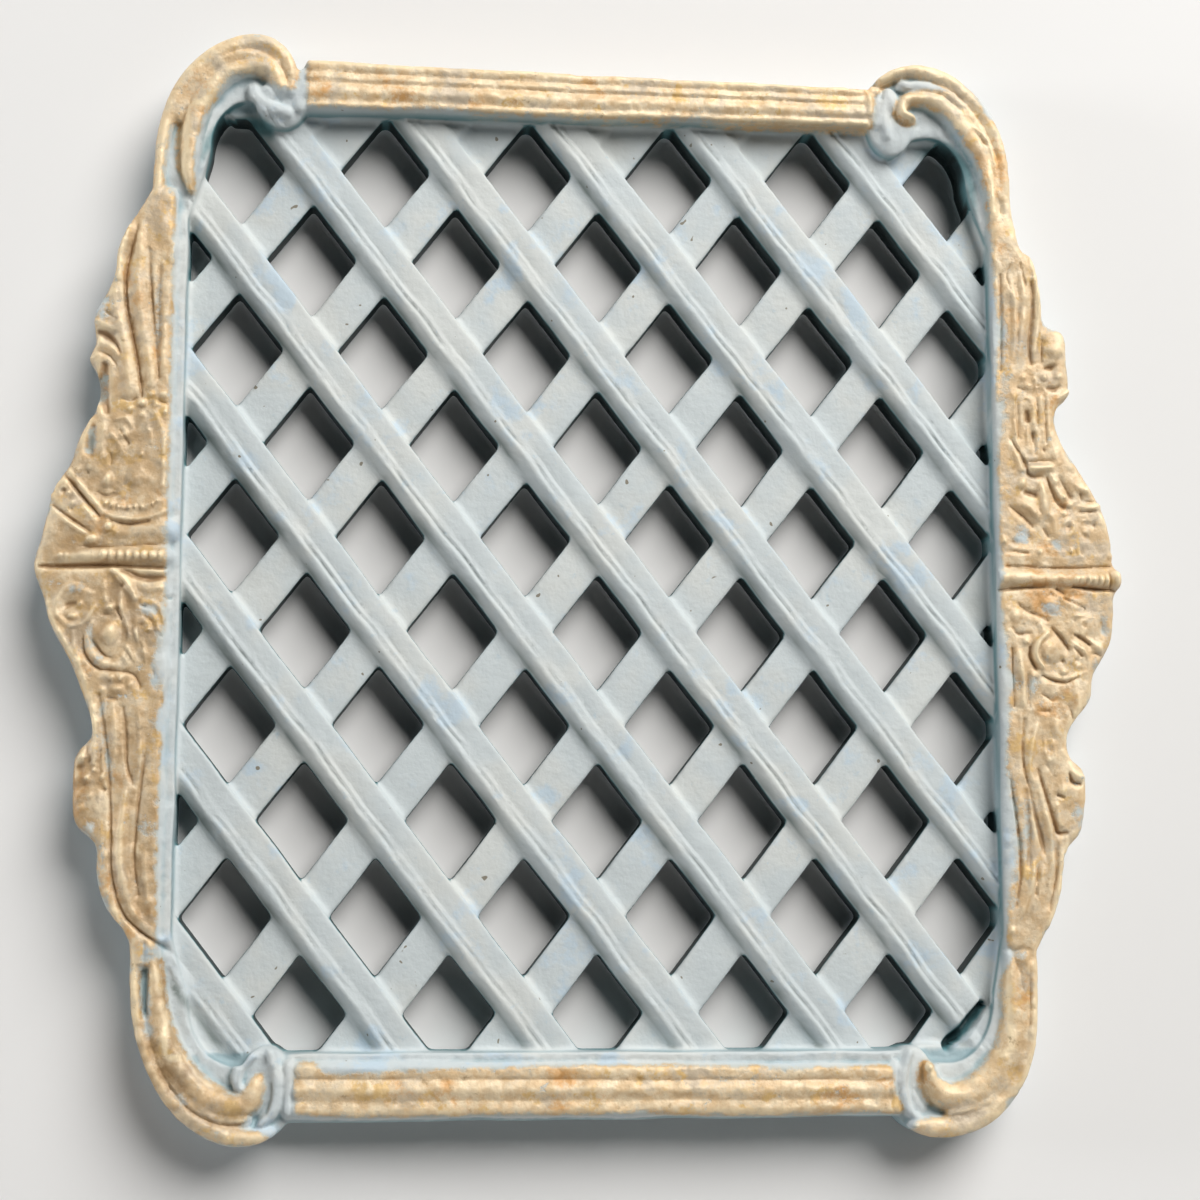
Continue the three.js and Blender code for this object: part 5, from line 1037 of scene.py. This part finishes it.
for x, up, wide, high, turn in bare:
    onFrame *= 1 - dome(x, up, wide * 1.15, high * 1.1, 0.82, lambda q: np.clip(1.3 - 1.3 * q, 0, 1), turn)
onFrame = blurred(onFrame, 0.45)
gilding = readSheet(onFrame, xs, ups) * portion(outs, 7, 2.5)

masks = {"gilding": gilding, "raised": raised, "linesAndShade": linesAndShade, "tealShade": np.maximum(depth, wallShade),
         "sideAndLowDarkening": sideAndLowDarkening}
for name, values in masks.items():
    layer = grille.data.attributes.new(name, "FLOAT", "POINT")
    layer.data.foreach_set("value", values.astype(np.float32))

# Materials


def newNode(tree, kind, at, **settings):
    node = tree.nodes.new(kind)
    node.location = at
    for key, value in settings.items():
        setattr(node, key, value)
    return node


def fill(tree, socket, value):
    # Joins another node's output to a socket, or sets a plain value on it.
    if hasattr(value, "is_linked"):
        tree.links.new(value, socket)
    else:
        socket.default_value = value


def noise(tree, vector, scale, detail, rough, at):
    made = newNode(tree, "ShaderNodeTexNoise", at)
    made.inputs["Scale"].default_value = scale
    made.inputs["Detail"].default_value = detail
    made.inputs["Roughness"].default_value = rough
    tree.links.new(vector, made.inputs["Vector"])
    return made.outputs["Fac"]


def ramp(tree, value, low, high, at):
    band = newNode(tree, "ShaderNodeMapRange", at, interpolation_type="SMOOTHSTEP")
    band.inputs["From Min"].default_value, band.inputs["From Max"].default_value = low, high
    tree.links.new(value, band.inputs["Value"])
    return band.outputs["Result"]


def patch(tree, vector, scale, low, high, detail, rough, at):
    return ramp(tree, noise(tree, vector, scale, detail, rough, at), low, high, (at[0] + 180, at[1]))


def mixed(tree, amount, first, second, at):
    mix = newNode(tree, "ShaderNodeMix", at, data_type="RGBA")
    for value, socket in ((amount, 0), (first, 6), (second, 7)):
        fill(tree, mix.inputs[socket], value)
    return mix.outputs[2]


def sums(tree, kind, a, b, at, c=None):
    node = newNode(tree, "ShaderNodeMath", at, operation=kind)
    for value, socket in ((a, 0), (b, 1), (c, 2)):
        if value is not None:
            fill(tree, node.inputs[socket], value)
    return node.outputs[0]


def newGroup(name, values):
    # A group that takes a vector and some values, and puts out a colour.
    group = bpy.data.node_groups.new(name, "ShaderNodeTree")
    group.interface.new_socket("Vector", in_out="INPUT", socket_type="NodeSocketVector")
    for title in values:
        group.interface.new_socket(title, in_out="INPUT", socket_type="NodeSocketFloat")
    group.interface.new_socket("Color", in_out="OUTPUT", socket_type="NodeSocketColor")
    given = newNode(group, "NodeGroupInput", (-900, 0)).outputs
    made = newNode(group, "NodeGroupOutput", (1500, 0)).inputs
    return group, given, made


def patched(group, vector, colour, patches):
    for i, (noiseValues, other) in enumerate(patches):
        mask = patch(group, vector, *noiseValues, (-700, 500 - 200 * i))
        colour = mixed(group, mask, colour, other, (-400 + 150 * i, 500 - 50 * i))
    return colour


def shaded(group, colour, shades, row):
    # Lays other colours over a colour where a value rises from low to high.
    for i, (value, low, high, other) in enumerate(shades):
        mask = ramp(group, value, low, high, (-400 + 200 * i, -200 * row))
        colour = mixed(group, mask, colour, other, (300 + 150 * i, 200 - 100 * row))
    return colour


# Patches of colour: the size, lower and upper edge, detail and roughness of their noise, and the tint.
chalkPaint = {
    # After base: grey for fine grooves, also painted shade on the bar flanks, then painted shade for hollows
    # and depths.
    "base": (198, 206, 208), "linesAndShade": (126, 136, 133), "hollowShadeAndGrime": (150, 172, 178),
    "tealShade": (86, 132, 138), "deepShade": (22, 42, 44),
    "patches": [((48, 0.42, 0.62, 3, 0.55), (206, 210, 208)), ((85, 0.55, 0.68, 5, 0.62), (189, 205, 216)),
                ((260, 0.62, 0.74, 4, 0.65), (188, 201, 207)), ((620, 0.85, 0.88, 0, 0.4), (132, 126, 112))],
}


def chalkPaintGroup():
    # Matt pale blue-grey paint: cream and blue patches, painted shade in blue-green to near black in the
    # depths and in blue-grey in the hollows, grey in fine grooves that is also painted shade on the bar
    # flanks.
    group, given, made = newGroup("chalkPaint", ("TealShade", "LinesAndShade", "Raised"))
    patches = [(values, tint(*other)) for values, other in chalkPaint["patches"]]
    colour = patched(group, given["Vector"], tint(*chalkPaint["base"]), patches)
    # Painted shade in the hollows and depths; the grey of the fine grooves also paints shade on the bar
    # flanks.
    hollowShadeAndGrime = sums(group, "MULTIPLY", given["Raised"], -1, (-600, -450))
    shades = [(given["LinesAndShade"], 0.12, 1.05, tint(*chalkPaint["linesAndShade"])),
              (hollowShadeAndGrime, 0.1, 0.9, tint(*chalkPaint["hollowShadeAndGrime"])),
              (given["TealShade"], 0.02, 0.55, tint(*chalkPaint["tealShade"])),
              (given["TealShade"], 0.4, 1, tint(*chalkPaint["deepShade"]))]
    group.links.new(shaded(group, colour, shades, 1), made["Color"])
    return group


wornGold = {
    # After base: painted shade with grime in hollows, then a painted highlight on crests.
    "base": (222, 192, 150), "hollowShadeAndGrime": (196, 160, 116), "crest": (243, 222, 184), "rim": (213, 174, 120),
    "linesAndShade": (156, 122, 84), "grime": (158, 130, 92), "darkening": (160, 130, 92), "rimStrength": 0.6,
    "grimeStrength": 0.55,
    "patches": [((210, 0.38, 0.62, 5, 0.65), (240, 221, 188)), ((105, 0.5, 0.64, 5, 0.68), (206, 190, 166)),
                ((150, 0.56, 0.66, 4, 0.7), (226, 190, 128)), ((58, 0.56, 0.67, 6, 0.7), (216, 164, 102))],
    "rimNoise": (120, 0.36, 0.56, 4, 0.6), "grimeNoise": (330, 0.6, 0.72, 4, 0.7),
    "darkeningNoise": (130, 0.2, 0.6, 5, 0.65),
}


def wornGoldGroup():
    # Worn leaf: a painted highlight on the crests and painted shade with grime in the hollows, rosy, amber
    # and grey in patches, brown in the cuts.
    group, given, made = newGroup("wornGold", ("LinesAndShade", "Raised", "Edge", "SideAndLowDarkening"))
    here = given["Vector"]
    patches = [(values, tint(*other)) for values, other in wornGold["patches"]]
    colour = patched(group, here, tint(*wornGold["base"]), patches)
    # Painted shade with grime in the hollows, and a painted highlight on the crests.
    hollowShadeAndGrime = sums(group, "MULTIPLY", given["Raised"], -1, (-600, -250))
    colour = shaded(group, colour, [(hollowShadeAndGrime, 0.1, 1.1, tint(*wornGold["hollowShadeAndGrime"])),
                                    (given["Raised"], 0.08, 0.8, tint(*wornGold["crest"]))], 1)
    rimFlecks = patch(group, here, *wornGold["rimNoise"], (-700, -700))
    rim = sums(group, "MULTIPLY", given["Edge"], rimFlecks, (-400, -800))
    rim = sums(group, "MULTIPLY", rim, wornGold["rimStrength"], (-200, -800))
    colour = mixed(group, rim, colour, tint(*wornGold["rim"]), (700, 100))
    colour = shaded(group, colour, [(given["LinesAndShade"], 0.14, 1.2, tint(*wornGold["linesAndShade"]))], 2)
    grime = patch(group, here, *wornGold["grimeNoise"], (-700, -500))
    grime = sums(group, "MULTIPLY", grime, wornGold["grimeStrength"], (-400, -500))
    colour = mixed(group, grime, colour, tint(*wornGold["grime"]), (1000, -100))
    # Browner flecks that grow towards the sides and low parts, kept off the crests.
    darkeningFlecks = patch(group, here, *wornGold["darkeningNoise"], (-700, -900))
    darkening = sums(group, "MULTIPLY", given["SideAndLowDarkening"], darkeningFlecks, (-400, -1000))
    sheltered = ramp(group, given["Raised"], 0.7, -0.1, (-400, -1150))
    darkening = sums(group, "MULTIPLY", darkening, sheltered, (-200, -1000))
    group.links.new(mixed(group, darkening, colour, tint(*wornGold["darkening"]), (1200, -200)), made["Color"])
    return group


finish = {
    "metal": 0.12, "paintRoughness": 0.62, "goldRoughness": 0.52, "stain": (186, 188, 176),
    "stainStrength": 0.6,
    "ragged": (300, 0.25, 0.75, 6, 0.7), "raggedDepth": 0.9, "raggedStart": -0.4,
    "bald": (170, 0.58, 0.7, 6, 0.75), "baldDepth": 0.55,
    "grainSize": 700, "dentSize": 240, "dentDepth": 1.2, "goldDentDepth": 1.6, "bumpStrength": 0.45,
    "bumpDepth": 0.00035,
}


def finishMaterial():
    material = bpy.data.materials.new("paintedAndGilded")
    material.use_nodes = True
    tree = material.node_tree
    tree.nodes.clear()
    output = newNode(tree, "ShaderNodeOutputMaterial", (1200, 0))
    shader = newNode(tree, "ShaderNodeBsdfPrincipled", (900, 0))
    tree.links.new(shader.outputs["BSDF"], output.inputs["Surface"])
    coords = newNode(tree, "ShaderNodeTexCoord", (-1200, 0)).outputs["Object"]
    maps = {}
    for i, name in enumerate(masks):
        reader = newNode(tree, "ShaderNodeAttribute", (-1200, 300 - 180 * i), attribute_name=name)
        maps[name] = reader.outputs["Fac"]
    gilded = maps["gilding"]
    # Leaf wears off in ragged flecks, first from where it was laid thinly.
    ragged = patch(tree, coords, *finish["ragged"], (-900, 500))
    bald = patch(tree, coords, *finish["bald"], (-900, 700))
    edge = sums(tree, "MULTIPLY_ADD", ragged, finish["raggedDepth"], (-500, 500), finish["raggedStart"])
    leaf = sums(tree, "ADD", gilded, edge, (-300, 500))
    lost = sums(tree, "MULTIPLY", bald, finish["baldDepth"], (-500, 700))
    leaf = sums(tree, "SUBTRACT", leaf, lost, (-200, 600))
    held = ramp(tree, gilded, 0.05, 0.35, (-100, 600))
    mask = sums(tree, "MULTIPLY", ramp(tree, leaf, 0.15, 0.85, (-100, 500)), held, (0, 500))
    paint = newNode(tree, "ShaderNodeGroup", (-300, 200), node_tree=chalkPaintGroup())
    gold = newNode(tree, "ShaderNodeGroup", (-300, -100), node_tree=wornGoldGroup())
    thinLeaf = ramp(tree, gilded, 1.0, 0.45, (-100, 700))
    given = {"Vector": coords, "LinesAndShade": maps["linesAndShade"], "Raised": maps["raised"], "TealShade": maps["tealShade"],
             "SideAndLowDarkening": maps["sideAndLowDarkening"], "Edge": thinLeaf}
    for node in (paint, gold):
        for socket in node.inputs:
            tree.links.new(given[socket.name], socket)
    stained = ramp(tree, gilded, 0.0, 0.5, (0, 700))
    stained = sums(tree, "MULTIPLY", stained, finish["stainStrength"], (100, 700))
    under = mixed(tree, stained, paint.outputs["Color"], tint(*finish["stain"]), (200, 300))
    tree.links.new(mixed(tree, mask, under, gold.outputs["Color"], (300, 200)), shader.inputs["Base Color"])
    tree.links.new(sums(tree, "MULTIPLY", mask, finish["metal"], (300, -50)), shader.inputs["Metallic"])
    rough = newNode(tree, "ShaderNodeMapRange", (300, -250))
    rough.inputs["To Min"].default_value = finish["paintRoughness"]
    rough.inputs["To Max"].default_value = finish["goldRoughness"]
    tree.links.new(mask, rough.inputs["Value"])
    tree.links.new(rough.outputs["Result"], shader.inputs["Roughness"])
    # Brushed plaster: a fine grain, and slow dents that are deeper in the gold.
    grain = noise(tree, coords, finish["grainSize"], 6, 0.5, (-100, -500))
    dents = noise(tree, coords, finish["dentSize"], 4, 0.5, (-100, -700))
    deeper = sums(tree, "MULTIPLY_ADD", mask, finish["goldDentDepth"], (0, -800), finish["dentDepth"])
    height = sums(tree, "MULTIPLY_ADD", dents, deeper, (100, -600), grain)
    bump = newNode(tree, "ShaderNodeBump", (600, -400))
    bump.inputs["Strength"].default_value = finish["bumpStrength"]
    bump.inputs["Distance"].default_value = finish["bumpDepth"]
    tree.links.new(height, bump.inputs["Height"])
    tree.links.new(bump.outputs["Normal"], shader.inputs["Normal"])
    return material


print("paint and worn gold")
grille.data.materials.clear()
grille.data.materials.append(finishMaterial())
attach(grille, "root")
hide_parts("grille")

# Setting

studio = {
    "wallWide": 2.6, "wallHigh": 2.6, "wallGap": 0.0006, "floorUp": -1.05, "floorDepth": 0.8,
    "floorBehind": 0.6,
    "wallColour": (0.84, 0.835, 0.83, 1), "floorColour": (0.8, 0.8, 0.79, 1), "skyStrength": 0.012,
    # Each lamp: its name, where it shines from, how far off, how large, how strong, and its colour.
    "lamps": [("keyLight", (0.62, -1.0, 0.94), 2.2, 1.7, 70, (1, 0.985, 0.96)),
              ("fillLight", (-1, -0.2, 0.1), 1.8, 0.5, 11, (0.96, 0.98, 1)),
              ("backLight", (0.6, 1, 0.7), 1.8, 1.2, 9, (1, 1, 1))],
}


def plainSheet(name, at, turn, wide, high):
    bpy.ops.object.select_all(action="DESELECT")
    bpy.ops.mesh.primitive_plane_add(size=1, location=at, rotation=turn)
    made = bpy.context.object
    made.name = name
    made.scale = (wide, high, 1)
    bpy.ops.object.transform_apply(location=True, rotation=True, scale=True)
    return made


def plainStage():
    wide, high, deep = studio["wallWide"], studio["wallHigh"], studio["floorDepth"]
    wallAt = (0, studio["wallGap"], studio["floorUp"] + high / 2)
    wall = plainSheet("backdrop", wallAt, (radians(90), 0, 0), wide, high)
    floorAt = (0, -deep / 2 + studio["floorBehind"], studio["floorUp"])
    floor = plainSheet("floor", floorAt, (0, 0, 0), wide, deep + 2 * studio["floorBehind"])
    for piece, colour, oneSided in ((wall, studio["wallColour"], True),
                                    (floor, studio["floorColour"], False)):
        material = bpy.data.materials.new(piece.name + "Plain")
        material.use_nodes = True
        tree = material.node_tree
        shader = tree.nodes["Principled BSDF"]
        shader.inputs["Base Color"].default_value = colour
        shader.inputs["Roughness"].default_value = 0.9
        shader.inputs["Specular IOR Level"].default_value = 0.1
        if oneSided:
            # Seen from behind, or from a hair's breadth in front, the backdrop lets light through.
            clear = newNode(tree, "ShaderNodeBsdfTransparent", (0, -300))
            choose = newNode(tree, "ShaderNodeMixShader", (300, 0))
            behind = newNode(tree, "ShaderNodeNewGeometry", (-300, 300))
            path = newNode(tree, "ShaderNodeLightPath", (-300, 0))
            close = sums(tree, "LESS_THAN", path.outputs["Ray Length"], 0.001, (0, 300))
            seeThrough = sums(tree, "MAXIMUM", behind.outputs["Backfacing"], close, (150, 300))
            tree.links.new(seeThrough, choose.inputs["Fac"])
            tree.links.new(shader.outputs["BSDF"], choose.inputs[1])
            tree.links.new(clear.outputs["BSDF"], choose.inputs[2])
            tree.links.new(choose.outputs["Shader"], tree.nodes["Material Output"].inputs["Surface"])
        piece.data.materials.append(material)


def softLight(name, towards, distance, size, power, colour):
    bpy.ops.object.light_add(type="AREA", location=Vector(towards).normalized() * distance)
    lamp = bpy.context.object
    lamp.name = name
    lamp.rotation_euler = Vector(towards).to_track_quat("Z", "Y").to_euler()
    lamp.data.shape = "DISK"
    lamp.data.size, lamp.data.energy, lamp.data.color = size, power, colour


print("floor, backdrop and lamps")
plainStage()
for lamp in studio["lamps"]:
    softLight(*lamp)
world = bpy.data.worlds.new("paleRoom")
bpy.context.scene.world = world
world.use_nodes = True
sky = world.node_tree.nodes["Background"]
sky.inputs["Color"].default_value = (0.9, 0.95, 1, 1)
sky.inputs["Strength"].default_value = studio["skyStrength"]

camera = {
    "at": (-0.0477254, -0.539671, -0.0814883), "right": (0.995893, -0.090532, 0.000424),
    "up": (-0.011652, -0.123532, 0.992272), "back": (-0.089780, -0.988202, -0.124080), "lens": 66.78,
    "sensor": 36, "nearest": 0.01,
}
bpy.ops.object.camera_add(location=camera["at"])
eye = bpy.context.object
turned = Matrix((camera["right"], camera["up"], camera["back"])).transposed()
eye.rotation_euler = turned.to_euler()
eye.data.lens, eye.data.sensor_width = camera["lens"], camera["sensor"]
eye.data.clip_start = camera["nearest"]
bpy.context.scene.camera = eye
bpy.context.scene.view_settings.view_transform = "Standard"
